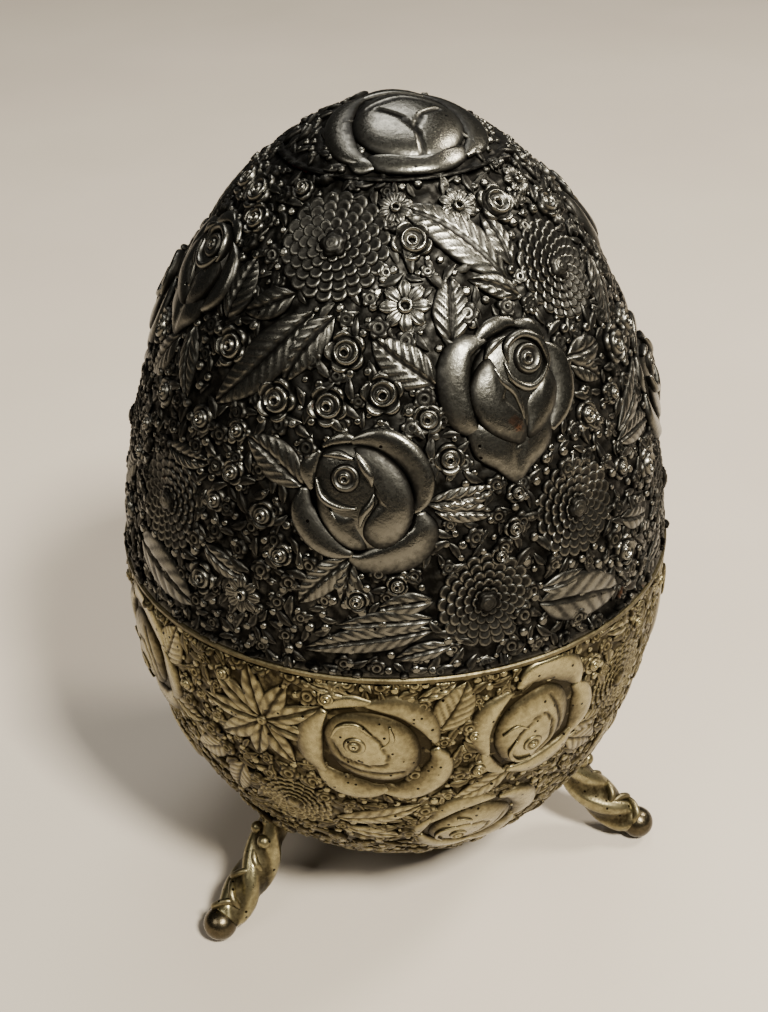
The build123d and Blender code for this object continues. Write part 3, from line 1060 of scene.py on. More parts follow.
def fill(tree, node, links):
    """Fills a node's inputs, by name or number, with values, outputs or a node's first output."""
    for key, value in links.items():
        socket = node.inputs[key] if isinstance(key, int) else next(
            s for s in node.inputs if s.name == key and s.enabled
        )
        if isinstance(value, bpy.types.Node):
            value = next(s for s in value.outputs if s.enabled)
        if isinstance(value, bpy.types.NodeSocket):
            tree.links.new(value, socket)
        else:
            socket.default_value = value


def add_node(tree, kind, links=None, **settings):
    """Adds a node, makes its settings and fills its inputs."""
    node = tree.nodes.new(kind)
    for key, value in settings.items():
        setattr(node, key, value)
    fill(tree, node, links or {})
    return node


def new_tree(name, inputs):
    """An empty Geometry Nodes tree with named inputs; returns it, its node adder and its inputs by name."""
    tree = bpy.data.node_groups.new(name, "GeometryNodeTree")
    tree.interface.new_socket("Geometry", in_out="OUTPUT", socket_type="NodeSocketGeometry")
    for label, kind in [("Geometry", "Geometry")] + inputs:
        tree.interface.new_socket(label, in_out="INPUT", socket_type="NodeSocket" + kind)
    take = tree.nodes.new("NodeGroupInput")
    return tree, partial(add_node, tree), {s.name: s for s in take.outputs}


def end_tree(add, instances, finish):
    """Makes the instances real, gives them their finish and hands them out of the tree."""
    real = add("GeometryNodeRealizeInstances", {"Geometry": instances})
    done = add("GeometryNodeSetMaterial", {"Geometry": real, "Material": finish})
    add("NodeGroupOutput", {"Geometry": done})


def run_tree(mesh, tree, values):
    """Runs a tree on a mesh with its inputs set by identifier, and returns the result as a plain mesh."""
    seat = bpy.data.objects.new("seat", mesh)
    bpy.context.scene.collection.objects.link(seat)
    modifier = seat.modifiers.new(tree.name, "NODES")
    modifier.node_group = tree
    for item in tree.interface.items_tree:
        if item.in_out == "INPUT" and item.name in values:
            modifier[item.identifier] = values[item.name]
    graph = bpy.context.evaluated_depsgraph_get()
    result = bpy.data.meshes.new_from_object(
        seat.evaluated_get(graph), preserve_all_data_layers=True, depsgraph=graph
    )
    seat.modifiers.remove(modifier)
    bpy.data.objects.remove(seat)
    if not len(result.polygons):
        raise RuntimeError(tree.name + " made no faces")
    return result


def vertex_points(mesh):
    """A mesh's points in metres, one to a row."""
    points = np.zeros(len(mesh.vertices) * 3, np.float32)
    mesh.vertices.foreach_get("co", points)
    return points.reshape(-1, 3).astype(float)


def as_object(name, work):
    """A work as a plain object for a tree to copy."""
    obj = bpy.data.objects.new(name, make_mesh(name, work))
    bpy.context.scene.collection.objects.link(obj)
    return obj


def scatter_tree():
    """Sets one small motif all over the free ground, each turned and sized at random."""
    tree, add, take = new_tree(
        "small_work_on_ground",
        [
            ("Motif", "Object"), ("Finish", "Material"), ("Spacing", "Float"), ("Smallest", "Float"),
            ("Largest", "Float"), ("Seed", "Int"),
        ],
    )
    free = add("GeometryNodeInputNamedAttribute", {"Name": "free"}, data_type="FLOAT")
    points = add(
        "GeometryNodeDistributePointsOnFaces",
        {
            "Mesh": take["Geometry"], "Distance Min": take["Spacing"], "Density Max": DENSEST,
            "Density Factor": free, "Seed": take["Seed"],
        },
        distribute_method="POISSON",
    )
    motif = add("GeometryNodeObjectInfo", {"Object": take["Motif"]}, transform_space="ORIGINAL")
    spin = add(
        "FunctionNodeRandomValue", {"Min": 0.0, "Max": 2 * math.pi, "Seed": take["Seed"]},
        data_type="FLOAT",
    )
    about = add("FunctionNodeAxisAngleToRotation", {"Axis": (0, 0, 1), "Angle": spin})
    turned = add(
        "FunctionNodeRotateRotation", {0: points.outputs["Rotation"], 1: about}, rotation_space="LOCAL"
    )
    size = add(
        "FunctionNodeRandomValue",
        {
            "Min": take["Smallest"], "Max": take["Largest"], "Seed": take["Seed"],
            "ID": add("GeometryNodeInputIndex"),
        },
        data_type="FLOAT",
    )
    placed = add(
        "GeometryNodeInstanceOnPoints",
        {
            "Points": points.outputs["Points"], "Instance": motif.outputs["Geometry"], "Rotation": turned,
            "Scale": size,
        },
    )
    end_tree(add, placed, take["Finish"])
    return tree


def scatter(ground, free, motif, name, body, slot, finish, spacing, smallest, largest, seed):
    """A piece made of one small motif scattered over a ground's free places."""
    seat = make_mesh(name + "_seat", ground)
    seat.attributes.new("free", "FLOAT", "POINT").data.foreach_set("value", free.astype(np.float32))
    pattern = as_object(name + "_motif", motif)
    tree = bpy.data.node_groups.get("small_work_on_ground") or scatter_tree()
    values = {"Motif": pattern, "Finish": bpy.data.materials[finish], "Spacing": spacing * MM}
    values |= {"Smallest": smallest, "Largest": largest, "Seed": seed}
    mesh = run_tree(seat, tree, values)
    bpy.data.objects.remove(pattern)
    mesh.name = name
    mesh.polygons.foreach_set("use_smooth", np.full(len(mesh.polygons), True))
    points = vertex_points(mesh)
    low, high = CLEAR[body]
    points[:, 2] = np.clip(points[:, 2], low * MM, high * MM)
    mesh.vertices.foreach_set("co", points.ravel())
    add_piece(name, mesh, body, finish)


def dahlia_tree():
    """Rings of overlapping petals round a middle, each lower, wider and larger than the one inside it."""
    tree, add, take = new_tree(
        "dahlia_rings",
        [("Petal", "Object"), ("Finish", "Material"), ("Rings", "Int"), ("First Radius", "Float")]
        + [(label, "Float") for label in ("Ring Step", "Petal Pitch", "Drop", "Growth")],
    )
    petal = add("GeometryNodeObjectInfo", {"Object": take["Petal"]}, transform_space="ORIGINAL")
    line = add("GeometryNodeMeshLine", {"Count": take["Rings"]})
    cloud = add("GeometryNodeMeshToPoints", {"Mesh": line})
    ring = add("GeometryNodeInputIndex")
    out = add(
        "ShaderNodeMath", {0: ring, 1: take["Ring Step"], 2: take["First Radius"]},
        operation="MULTIPLY_ADD",
    )
    grown = add("ShaderNodeMath", {0: ring, 1: take["Growth"], 2: 0.78}, operation="MULTIPLY_ADD")
    pitch = add("ShaderNodeMath", {0: grown, 1: take["Petal Pitch"]}, operation="MULTIPLY")
    girth = add("ShaderNodeMath", {0: out, 1: 2 * math.pi}, operation="MULTIPLY")
    room = add("ShaderNodeMath", {0: girth, 1: pitch}, operation="DIVIDE")
    count = add("ShaderNodeMath", {0: room}, operation="ROUND")
    points = cloud
    for label, value in (("ring", ring), ("reach", out), ("petals", count), ("grown", grown)):
        points = add(
            "GeometryNodeStoreNamedAttribute", {"Geometry": points, "Name": label, "Value": value},
            data_type="FLOAT", domain="POINT",
        )
    copies = add("GeometryNodeDuplicateElements", {"Geometry": points, "Amount": count}, domain="POINT")
    kept = {
        label: add("GeometryNodeInputNamedAttribute", {"Name": label}, data_type="FLOAT")
        for label in ("ring", "reach", "petals", "grown")
    }
    step = add(
        "ShaderNodeMath", {0: kept["ring"], 1: 0.5, 2: copies.outputs["Duplicate Index"]},
        operation="MULTIPLY_ADD",
    )
    share = add("ShaderNodeMath", {0: step, 1: kept["petals"]}, operation="DIVIDE")
    angle = add("ShaderNodeMath", {0: share, 1: 2 * math.pi}, operation="MULTIPLY")
    facing = add("FunctionNodeAxisAngleToRotation", {"Axis": (0, 0, 1), "Angle": angle})
    down = add("ShaderNodeMath", {0: kept["ring"], 1: take["Drop"]}, operation="MULTIPLY")
    straight = add("ShaderNodeCombineXYZ", {"X": kept["reach"], "Z": down})
    swung = add("FunctionNodeRotateVector", {"Vector": straight, "Rotation": facing})
    moved = add("GeometryNodeSetPosition", {"Geometry": copies.outputs[0], "Position": swung})
    placed = add(
        "GeometryNodeInstanceOnPoints",
        {
            "Points": moved, "Instance": petal.outputs["Geometry"], "Rotation": facing,
            "Scale": kept["grown"],
        },
    )
    end_tree(add, placed, take["Finish"])
    return tree


def dahlia_petal():
    """One scale-like petal pointing along +X, hollowed behind its thick rounded rim; the rim's outward half
    carries a painted highlight and the inward part, under the ring inside it, painted shade.
    """

    def hollow_and_lit_rim(x, y, rho):
        # the rim is raised, rubbed bright and painted as a highlight on its outward half; the inward part
        # is left dark as painted shade under the ring inside it
        rim = math.exp(-(((rho - 0.78) / 0.2) ** 2))
        return 0.3 * x + 0.1 * rim - 0.08 * (rho < 0.5), 0.36 + 0.68 * rim * (x > -0.1)

    rim = [(-0.8, -0.55), (0.0, -0.74), (0.5, -0.64), (0.78, 0.0), (0.5, 0.64), (0.0, 0.74), (-0.8, 0.55)]
    return pad(
        rim, 0.44, centre=(0.0, 0), rings=4, around=14, fullness=2.8, edge=0.1, base=0.26, sink=-0.9,
        shape=hollow_and_lit_rim,
    )


def dahlia(sizes, finish):
    """The whole dahlia as flat work, made by its tree."""
    petal = as_object("dahlia_petal", dahlia_petal())
    values = {"Petal": petal, "Finish": bpy.data.materials[finish], "Rings": sizes.dahlia_rings}
    values |= {
        "First Radius": 1.35 * MM, "Ring Step": 0.95 * MM, "Petal Pitch": 1.22 * MM, "Drop": -0.15 * MM,
        "Growth": 0.13,
    }
    mesh = run_tree(bpy.data.meshes.new("dahlia_seat"), dahlia_tree(), values)
    bpy.data.objects.remove(petal)
    rub_and_shading = np.zeros(len(mesh.vertices), np.float32)
    mesh.attributes["rub_and_shading"].data.foreach_get("value", rub_and_shading)
    quads = np.array([p.vertices[:] for p in mesh.polygons if len(p.vertices) == 4])
    tris = np.array([p.vertices[:] for p in mesh.polygons if len(p.vertices) == 3])
    button = disc(
        1.6, [
            (0, 1.0), (0.2, 0.85), (0.3, 0.98), (0.45, 0.72), (0.56, 0.84), (0.7, 0.56), (0.85, 0.6),
            (1, 0.1),
        ],
        lobes=5, depth=0.2, rings=12, around=30, height=0.85, fold=0.25, twist=0.04,
    )
    middle = button.shone(0.7).turned(0, 0, 0, 0.4)
    return together([Work(vertex_points(mesh) / MM, quads, tris, rub_and_shading.astype(float)), middle])


# ---------------------------------------------------------------- small filler motifs and feet


def leaflet():
    """A small ground leaf with a creased middle."""
    return band(
        [(0, -1.1), (0.2, 0), (0, 1.15)], (0.15, 0.52, 0.05), 0.5, steps=5, across=4, edge=0.3, sink=-0.35,
        shape=lambda t, s, w: (-0.45 * np.exp(-((s / 0.3) ** 2)), 0.8 - 0.6 * np.exp(-((s / 0.3) ** 2))),
    )


def berry():
    return disc(
        0.5, [(0, 0.7), (0.25, 0.8), (0.6, 1), (1, 0.15)], rings=3, around=8, height=0.45, sink=-0.3
    )


def floret():
    """A tiny five-petalled flower."""
    return disc(
        1.15, [(0, 0.3), (0.15, 0.4), (0.3, 1), (0.45, 0.35), (0.75, 0.9), (1, 0.3)],
        lobes=5, depth=0.28, rings=6, around=15, height=0.6, fold=0.3, sink=-0.35,
    )


def tube(path, radii, steps, around, flutes=0, twist=0, flute_depth=0):
    """A round bar along a path in space, with spiral flutes, its ends closed."""
    line = curve_through(path, steps)
    t = np.linspace(0, 1, steps)
    radius = along(radii, t)
    way = np.gradient(line, axis=0)
    way /= np.linalg.norm(way, axis=1)[:, None]
    side = np.tile([1, 0, 0], (steps, 1))
    up = np.cross(way, side)
    up /= np.linalg.norm(up, axis=1)[:, None]
    angle = np.linspace(0, 2 * math.pi, around, endpoint=False)
    wave = np.cos(flutes * angle[None] + twist * t[:, None]) if flutes else np.ones((steps, around))
    ease = (smooth(t, 0, 0.08) * (1 - smooth(t, 0.94, 1)))[:, None]
    reach = radius[:, None] * (1 + flute_depth * ease * (np.sign(wave) * np.abs(wave) ** 0.6))
    out = np.cos(angle)[None, :, None] * side[:, None] + np.sin(angle)[None, :, None] * up[:, None]
    points = line[:, None] + reach[:, :, None] * out
    rub_and_shading = 0.3 + 0.6 * smooth(wave, -0.6, 0.5) if flutes else np.full((steps, around), 0.7)
    i = np.arange(around)
    j = (i + 1) % around
    quads = np.roll(walls(0, steps, j, i), 1, axis=1)
    last = (steps - 1) * around
    ends = [
        np.column_stack([np.full(around, steps * around), j, i]),
        np.column_stack([np.full(around, steps * around + 1), last + i, last + j]),
    ]
    points = np.vstack([points.reshape(-1, 3), line[0], line[-1]])
    return Work(points, quads, np.vstack(ends), np.append(rub_and_shading.ravel(), [0.5, 0.5]))


def ball(centre, radius, rings, around, squash=1, floor=None):
    """A ball, with its underside filed flat where a floor is given."""
    polar = np.linspace(0, math.pi, rings + 2)[1:-1]
    angle = np.linspace(0, 2 * math.pi, around, endpoint=False)
    x = np.sin(polar)[:, None] * np.cos(angle)
    y = np.sin(polar)[:, None] * np.sin(angle)
    z = np.cos(polar)[:, None] * np.ones(around)
    points = np.column_stack([x.ravel(), y.ravel(), z.ravel()])
    points = np.vstack([points, [0, 0, 1], [0, 0, -1]]) * (radius, radius, radius * squash) + centre
    if floor is not None:
        points[:, 2] = np.maximum(points[:, 2], floor)
    i = np.arange(around)
    j = (i + 1) % around
    count = rings * around
    low = (rings - 1) * around
    tris = [
        np.column_stack([np.full(around, count), i, j]),
        np.column_stack([np.full(around, count + 1), low + j, low + i]),
    ]
    return Work(points, walls(0, rings, i, j), np.vstack(tris), np.full(len(points), BALL_RUB))


def foot(azimuth):
    """A scroll foot: a twisted leafy leg, three beads and a bracket of leaves; its toe is separate work."""
    toe_z = TABLE_TOE - 0.25
    leg = [
        tube(
            [
                (0, -22.4, 15.2), (0, -24.4, 11.8), (0, -26.2, 8.6), (0, -28.8, 5.6), (0, -31.2, 3.7),
                (0, -33.4, 2.6),
            ],
            (1.7, 1.95, 2.3, 2.45, 2.4, 2.05), 130, 48, flutes=3, twist=15, flute_depth=0.13,
        ),
        ball((0.9, -26.6, 11.6), 0.95, rings=12, around=20),
        ball((-0.9, -26.1, 12.6), 0.85, rings=12, around=20),
        ball((0.1, -25.3, 13.6), 0.6, rings=10, around=16),
    ]
    for y, z, lean in ((-27.4, 9.4, 1), (-29.6, 7.6, -1), (-31.6, 6, 1), (-33.2, 4.9, -1)):
        path = [(-1.5, 1.2, -0.1), (-0.4, 0.1, 0.45), (0.9, -0.9, -0.3), (1.6, -0.6, -1.6)]
        path = [(across * lean, y + out, z + up) for across, out, up in path]
        leg.append(tube(path, (0.25, 0.62, 0.6, 0.25), 18, 12))
    toe = [ball((0, -34.3, toe_z - 0.2), toe_z - 0.15, rings=26, around=40, squash=0.98, floor=0)]
    leaves = [
        leaf(8.4, 1.75, "ribbed").turned(-25, 0.35, -4.6, -0.15).on_egg(azimuth, 11.5),
        leaf(8.4, 1.75, "ribbed").turned(25, -0.35, -4.6, -0.15).on_egg(azimuth, 11.5),
        leaf(6.6, 1.2, "ribbed").turned(-3, 0, -4, 0.15).on_egg(azimuth, 11.5),
        disc(
            2.1, [(0, 1), (0.7, 0.8), (1, 0.3)], lobes=6, depth=0.15, height=0.9
        ).turned(0, 0, -4.2, -0.1).on_egg(azimuth, 11.5),
    ]
    return [w.turned(azimuth) for w in leg] + leaves, [w.turned(azimuth) for w in toe]


# ---------------------------------------------------------------- finishes


def linear(code):
    """A colour picked as an sRGB hex value, as linear red, green, blue and alpha."""
    parts = [int(code[k : k + 2], 16) / 255 for k in (1, 3, 5)]
    return tuple(p / 12.92 if p <= 0.04045 else ((p + 0.055) / 1.055) ** 2.4 for p in parts) + (1.0,)


def new_finish(name):
    """A new material's tree, node adder, Principled shader and object coordinates."""
    material = bpy.data.materials.new(name)
    material.use_nodes = True
    tree = material.node_tree
    tree.nodes.clear()
    add = partial(add_node, tree)
    shader = add("ShaderNodeBsdfPrincipled")
    add("ShaderNodeOutputMaterial", {"Surface": shader})
    return tree, add, shader, add("ShaderNodeTexCoord").outputs["Object"]


def plated_casting(name, recess, ground, high, worn, pit, roughness, pits, reach=0.92, even=None):
    """Plated cast zinc, toned dark and rubbed back: dark in the hollows, bright on what a cloth reaches;
    the brightness it reads also holds painted shade and painted highlights from some motifs.
    """
    tree, add, shader, where = new_finish(name)
    # the point brightness: rubbing, plus painted shade on leaning petals and a painted highlight on dahlia
    # rims
    rub_and_shading = even
    if rub_and_shading is None:
        rub_and_shading = add("ShaderNodeAttribute", attribute_name="rub_and_shading").outputs["Fac"]
    # patches of toning about 8 mm across that the cloth took more or less of
    patches = add("ShaderNodeTexNoise", {"Vector": where, "Scale": 130.0, "Detail": 3.0, "Roughness": 0.6})
    # the casting's skin, about 0.7 mm in grain
    skin = add("ShaderNodeTexNoise", {"Vector": where, "Scale": 1500.0, "Detail": 4.0, "Roughness": 0.62})
    # toning caught in scratches and tool marks, about 0.25 mm apart
    marks = add(
        "ShaderNodeTexNoise",
        {"Vector": where, "Scale": 4200.0, "Detail": 2.0, "Roughness": 0.5, "Distortion": 0.6},
    )
    drift = add("ShaderNodeMath", {0: patches, 1: 0.75, 2: -0.375}, operation="MULTIPLY_ADD")
    drifted = add("ShaderNodeMath", {0: rub_and_shading, 1: reach, 2: drift}, operation="MULTIPLY_ADD")
    grit = add("ShaderNodeMath", {0: skin, 1: 0.7, 2: -0.35}, operation="MULTIPLY_ADD")
    amount = add("ShaderNodeMath", {0: drifted, 1: grit}, operation="ADD")
    tone = add("ShaderNodeValToRGB", {"Fac": amount})
    ramp = tone.color_ramp
    ramp.elements[0].position, ramp.elements[0].color = 0.12, recess
    ramp.elements[1].position, ramp.elements[1].color = 0.95, high
    middle = ramp.elements.new(0.48)
    middle.color = ground
    # small spots where the plate has worn through to warmer metal
    spots_of_wear = add(
        "ShaderNodeTexNoise", {"Vector": where, "Scale": 95.0, "Detail": 5.0, "Roughness": 0.7}
    )
    through = add("ShaderNodeMapRange", {"Value": spots_of_wear, "From Min": 0.66, "From Max": 0.74})
    on_highs = add("ShaderNodeMath", {0: through, 1: rub_and_shading}, operation="MULTIPLY")
    warmed = add("ShaderNodeMix", {"Factor": on_highs, "A": tone, "B": worn}, data_type="RGBA")
    # casting pits 0.2 mm across, filled with toning
    holes = add("ShaderNodeTexVoronoi", {"Vector": where, "Scale": 900.0, "Randomness": 1.0}, feature="F1")
    which = add("ShaderNodeMath", {0: holes.outputs["Distance"], 1: 0.17}, operation="LESS_THAN")
    kept = add("ShaderNodeSeparateColor", {"Color": holes.outputs["Color"]})
    some = add("ShaderNodeMath", {0: kept, 1: pits}, operation="LESS_THAN")
    pitted = add("ShaderNodeMath", {0: which, 1: some}, operation="MULTIPLY")
    colour = add("ShaderNodeMix", {"Factor": pitted, "A": warmed, "B": pit}, data_type="RGBA")
    dull = add(
        "ShaderNodeMapRange",
        {"Value": amount, "From Min": 0.1, "From Max": 0.9, "To Min": roughness[0], "To Max": roughness[1]},
    )
    varied = add("ShaderNodeMath", {0: marks, 1: 0.14, 2: -0.07}, operation="MULTIPLY_ADD")
    rough = add("ShaderNodeMath", {0: dull, 1: varied}, operation="ADD", use_clamp=True)
    fine = add("ShaderNodeBump", {"Strength": 0.25, "Distance": 0.00005, "Height": marks})
    grain = add("ShaderNodeBump", {"Strength": 0.3, "Distance": 0.00012, "Height": skin, "Normal": fine})
    sunk = add(
        "ShaderNodeBump", {"Strength": 0.6, "Distance": 0.0001, "Height": pitted, "Normal": grain},
        invert=True,
    )
    fill(tree, shader, {"Base Color": colour, "Metallic": 1.0, "Roughness": rough, "Normal": sunk})


def turned_steel(name, colour, dark):
    """Drawn steel wire, darkened by handling: fine rings of drawing marks and a low soft shine."""
    tree, add, shader, where = new_finish(name)
    lines = add("ShaderNodeMapping", {"Vector": where, "Scale": (4000.0, 500.0, 500.0)})
    marks = add("ShaderNodeTexNoise", {"Vector": lines, "Scale": 1.0, "Detail": 3.0})
    stain = add("ShaderNodeTexNoise", {"Vector": where, "Scale": 420.0, "Detail": 4.0})
    tone = add("ShaderNodeMix", {"Factor": stain, "A": dark, "B": colour}, data_type="RGBA")
    rough = add("ShaderNodeMapRange", {"Value": marks, "To Min": 0.22, "To Max": 0.5})
    bump = add("ShaderNodeBump", {"Strength": 0.3, "Distance": 0.00004, "Height": marks})
    fill(tree, shader, {"Base Color": tone, "Metallic": 1.0, "Roughness": rough, "Normal": bump})


def flocked_lining(name, colour, dark):
    """Short rayon flock on card: no gloss, a soft pale bloom at grazing angles and a fine nap."""
    tree, add, shader, where = new_finish(name)
    nap = add("ShaderNodeTexNoise", {"Vector": where, "Scale": 3200.0, "Detail": 3.0, "Roughness": 0.7})
    brushed = add("ShaderNodeTexNoise", {"Vector": where, "Scale": 140.0, "Detail": 2.0})
    mixed = add("ShaderNodeMath", {0: nap, 1: 0.5, 2: brushed}, operation="MULTIPLY_ADD")
    level = add("ShaderNodeMapRange", {"Value": mixed, "From Min": 0.45, "From Max": 1.05})
    tone = add("ShaderNodeMix", {"Factor": level, "A": dark, "B": colour}, data_type="RGBA")
    bump = add("ShaderNodeBump", {"Strength": 0.8, "Distance": 0.00015, "Height": nap})
    fill(tree, shader, {"Base Color": tone, "Roughness": 0.95, "Specular IOR Level": 0.15, "Normal": bump})
    fill(tree, shader, {"Sheen Weight": 0.22, "Sheen Roughness": 0.45})


def painted_board(name, colour, shade):
    """A matt painted board: almost even, with a faint roller texture."""
    tree, add, shader, where = new_finish(name)
    cloud = add("ShaderNodeTexNoise", {"Vector": where, "Scale": 14.0, "Detail": 3.0})
    tone = add("ShaderNodeMix", {"Factor": cloud, "A": shade, "B": colour}, data_type="RGBA")
    fine = add("ShaderNodeTexNoise", {"Vector": where, "Scale": 900.0, "Detail": 2.0})
    bump = add("ShaderNodeBump", {"Strength": 0.08, "Distance": 0.0002, "Height": fine})
    fill(tree, shader, {"Base Color": tone, "Roughness": 0.6, "Normal": bump})


# ---------------------------------------------------------------- settings


def length_setting(name, description, mm):
    return FloatProperty(name=name, description=description, default=mm * MM, unit="LENGTH")


def factor_setting(name, description, value):
    return FloatProperty(
        name=name, description=description, default=value, min=0.1, max=1.5, subtype="FACTOR"
    )


def colour_setting(name, description, code):
    return FloatVectorProperty(
        name=name, description=description, default=linear(code), size=4, subtype="COLOR"
    )


class EggBoxSizes(bpy.types.PropertyGroup):
    """Sizes of the relief."""

    lid_depth: length_setting("Lid ground depth", "How far the lid's ground lies under its outline", 0.6)
    bowl_depth: length_setting("Bowl ground depth", "How far the bowl's ground lies under its outline", 0.4)
    lid_relief: factor_setting(
        "Lid relief", "Height of the lid's flowers and leaves against their drawn height", 0.82
    )
    bowl_relief: factor_setting(
        "Bowl relief", "Height of the bowl's flowers and leaves against their drawn height", 0.72
    )
    punch: length_setting("Punch work", "Height of the fine punch work on the ground", 0.13)
    punch_spacing: length_setting("Punch spacing", "Distance between marks of the punch work", 1.3)
    dahlia_rings: IntProperty(
        name="Dahlia rings", description="Rings of petals in each dahlia", default=5, min=2, max=8
    )
    leaflet_spacing: length_setting(
        "Leaflet spacing", "Least distance between small leaves on the ground", 1.5
    )
    berry_spacing: length_setting("Berry spacing", "Least distance between berries on the ground", 1.3)
    floret_spacing: length_setting(
        "Floret spacing", "Least distance between tiny flowers on the ground", 2.9
    )


class EggBoxColours(bpy.types.PropertyGroup):
    """Colours of the finishes."""

    silver_recess: colour_setting("Silver hollows", "Toning left in the lid's hollows", "#0f0e0c")
    silver_ground: colour_setting(
        "Silver ground", "Toned silver plate between hollows and highs", "#2b2a27"
    )
    silver_high: colour_setting("Silver highs", "Silver plate rubbed bright", "#66645c")
    silver_worn: colour_setting("Silver wear", "Warmer metal where the silver plate is worn", "#8a5c40")
    gilt_recess: colour_setting("Gilt hollows", "Toning left in the bowl's hollows", "#2a2417")
    gilt_ground: colour_setting("Gilt ground", "Toned gilt between hollows and highs", "#5f5740")
    gilt_high: colour_setting("Gilt highs", "Pale gilt rubbed bright", "#9e9570")
    gilt_worn: colour_setting("Gilt wear", "Where the gilt has greyed", "#6e664c")
    steel: colour_setting("Steel", "Dark steel of the hinge pin", "#8d8b88")
    flock: colour_setting("Flock", "Flock of the linings", "#5c1218")
    floor: colour_setting("Floor", "Pale board under the box", "#b0a698")


# ---------------------------------------------------------------- operators

# each half's ground and how free each point of it is, once made
GROUNDS = {}

# name, place in metres, width, power in watts and colour of each soft light
LIGHTS = (
    ("window", (0.13, -0.46, 0.62), 0.12, 19.0, "#fffaee"),
    ("lamp", (0.46, 0.02, 0.5), 0.14, 5.0, "#fff6e6"),
    ("ceiling", (0.1, 0.35, 0.75), 0.35, 4.0, "#f8f6f2"),
    ("room", (-0.45, -0.25, 0.55), 0.3, 1.8, "#fffaf0"),
)

# lens and sensor in mm; place in mm and right, up and back axes before the turn about the upright
CAMERA_LENS, CAMERA_SENSOR = 51.97, 36.0
CAMERA_TURN = -17.6
CAMERA_PLACE = (0, -157.7, 145.6 + GAP)
CAMERA_AXES = (
    (0.99993, 0.00168, -0.01138),
    (0.00877, 0.5288, 0.8487),
    (0.00744, -0.84875, 0.52875),
)


class EGGBOX_OT_finishes(bpy.types.Operator):
    """Make the box's finishes"""

    bl_idname = "eggbox.finishes"
    bl_label = "Finishes"

    def execute(self, context):
        c = context.scene.eggbox_colours
        black = linear("#0d0b09")
        silver = (c.silver_recess, c.silver_ground, c.silver_high, c.silver_worn)
        gilt = (c.gilt_recess, c.gilt_ground, c.gilt_high, c.gilt_worn)
        # the toes get a darker copy of the plated finish
        toe = [linear(code) for code in ("#15120d", "#2f2a20", "#5c5341", "#6b5f45")]
        plated_casting(SILVER[-1], *silver, black, (0.6, 0.23), 0.05)
        plated_casting(GILT[-1], *gilt, linear("#120e08"), (0.58, 0.23), 0.5, reach=0.8)
        plated_casting("toe_metal_worn_dark", *toe, black, (0.5, 0.24), 0.1)
        plated_casting("pale_gilt_sheet_plain", *gilt, black, (0.55, 0.32), 0.04, even=0.42)
        turned_steel("drawn_steel_wire", c.steel, linear("#4a4744"))
        flocked_lining("rayon_flock_on_card", c.flock, linear("#2a070b"))
        painted_board("matt_painted_board", c.floor, linear("#a3998b"))
        return {"FINISHED"}


class EGGBOX_OT_lid_ground(bpy.types.Operator):
    """Make the lid's chased shell"""

    bl_idname = "eggbox.lid_ground"
    bl_label = "Lid ground"

    def execute(self, context):
        s = context.scene.eggbox_sizes
        low, high = LID_FOOT - GAP, CROWN_JOINT - GAP
        surface = chased_surface(
            s.lid_depth / MM, s.punch / MM, s.punch_spacing / MM, 7, float(EGG.run(low))
        )
        work = egg_shell(high, low, *GROUND_GRID, surface)
        GROUNDS["lid"] = (work, free_ground(work, LID_TAKEN, low - 0.2, high - 0.6))
        obj = add_work("lid_ground", [work], *SILVER)
        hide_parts("lid_shell")
        return {"FINISHED"}


class EGGBOX_OT_lid_roses(bpy.types.Operator):
    """Make the lid's large roses"""

    bl_idname = "eggbox.lid_roses"
    bl_label = "Lid roses"

    def execute(self, context):
        s = context.scene.eggbox_sizes
        kinds = {"upright": upright_rose(), "tilted": tilted_rose()}
        works = [
            laid_round([item], kinds[item[4]], s.lid_depth / MM, s.lid_relief)[0]
            for item in LID_PLAN["roses"]
        ]
        add_work("lid_roses", works, *SILVER)
        return {"FINISHED"}


class EGGBOX_OT_lid_dahlias(bpy.types.Operator):
    """Make the lid's dahlias"""

    bl_idname = "eggbox.lid_dahlias"
    bl_label = "Lid dahlias"

    def execute(self, context):
        s = context.scene.eggbox_sizes
        works = laid_round(LID_PLAN["dahlias"], dahlia(s, SILVER[-1]), s.lid_depth / MM, s.lid_relief)
        add_work("lid_dahlias", works, *SILVER)
        return {"FINISHED"}


class EGGBOX_OT_lid_small_flowers(bpy.types.Operator):
    """Make the lid's small roses, buds and blossoms"""

    bl_idname = "eggbox.lid_small_flowers"
    bl_label = "Lid small flowers"

    def execute(self, context):
        s = context.scene.eggbox_sizes
        works = []
        for group, motif in (("small", small_rose()), ("buds", rose_bud()), ("blossoms", blossom())):
            works += laid_round(LID_PLAN[group], motif, s.lid_depth / MM, s.lid_relief)
        add_work("lid_small_flowers", works, *SILVER)
        return {"FINISHED"}


class EGGBOX_OT_lid_leaves(bpy.types.Operator):
    """Make the lid's leaves"""

    bl_idname = "eggbox.lid_leaves"
    bl_label = "Lid leaves"

    def execute(self, context):
        s = context.scene.eggbox_sizes
        works = [laid_leaf(item, s.lid_depth / MM, s.lid_relief) for item in LID_PLAN["leaves"]]
        add_work("lid_leaves", works, *SILVER)
        return {"FINISHED"}


class EGGBOX_OT_lid_filler(bpy.types.Operator):
    """Scatter small leaves, berries and florets over the lid's ground"""

    bl_idname = "eggbox.lid_filler"
    bl_label = "Lid filler"

    def execute(self, context):
        s = context.scene.eggbox_sizes
        work, free = GROUNDS["lid"]
        scatter(work, free, leaflet(), "lid_leaflets", *SILVER, s.leaflet_spacing / MM, 0.75, 1.25, 11)
        scatter(work, free, berry(), "lid_berries", *SILVER, s.berry_spacing / MM, 0.7, 1.3, 12)
        scatter(work, free, floret(), "lid_florets", *SILVER, s.floret_spacing / MM, 0.8, 1.25, 13)
        return {"FINISHED"}


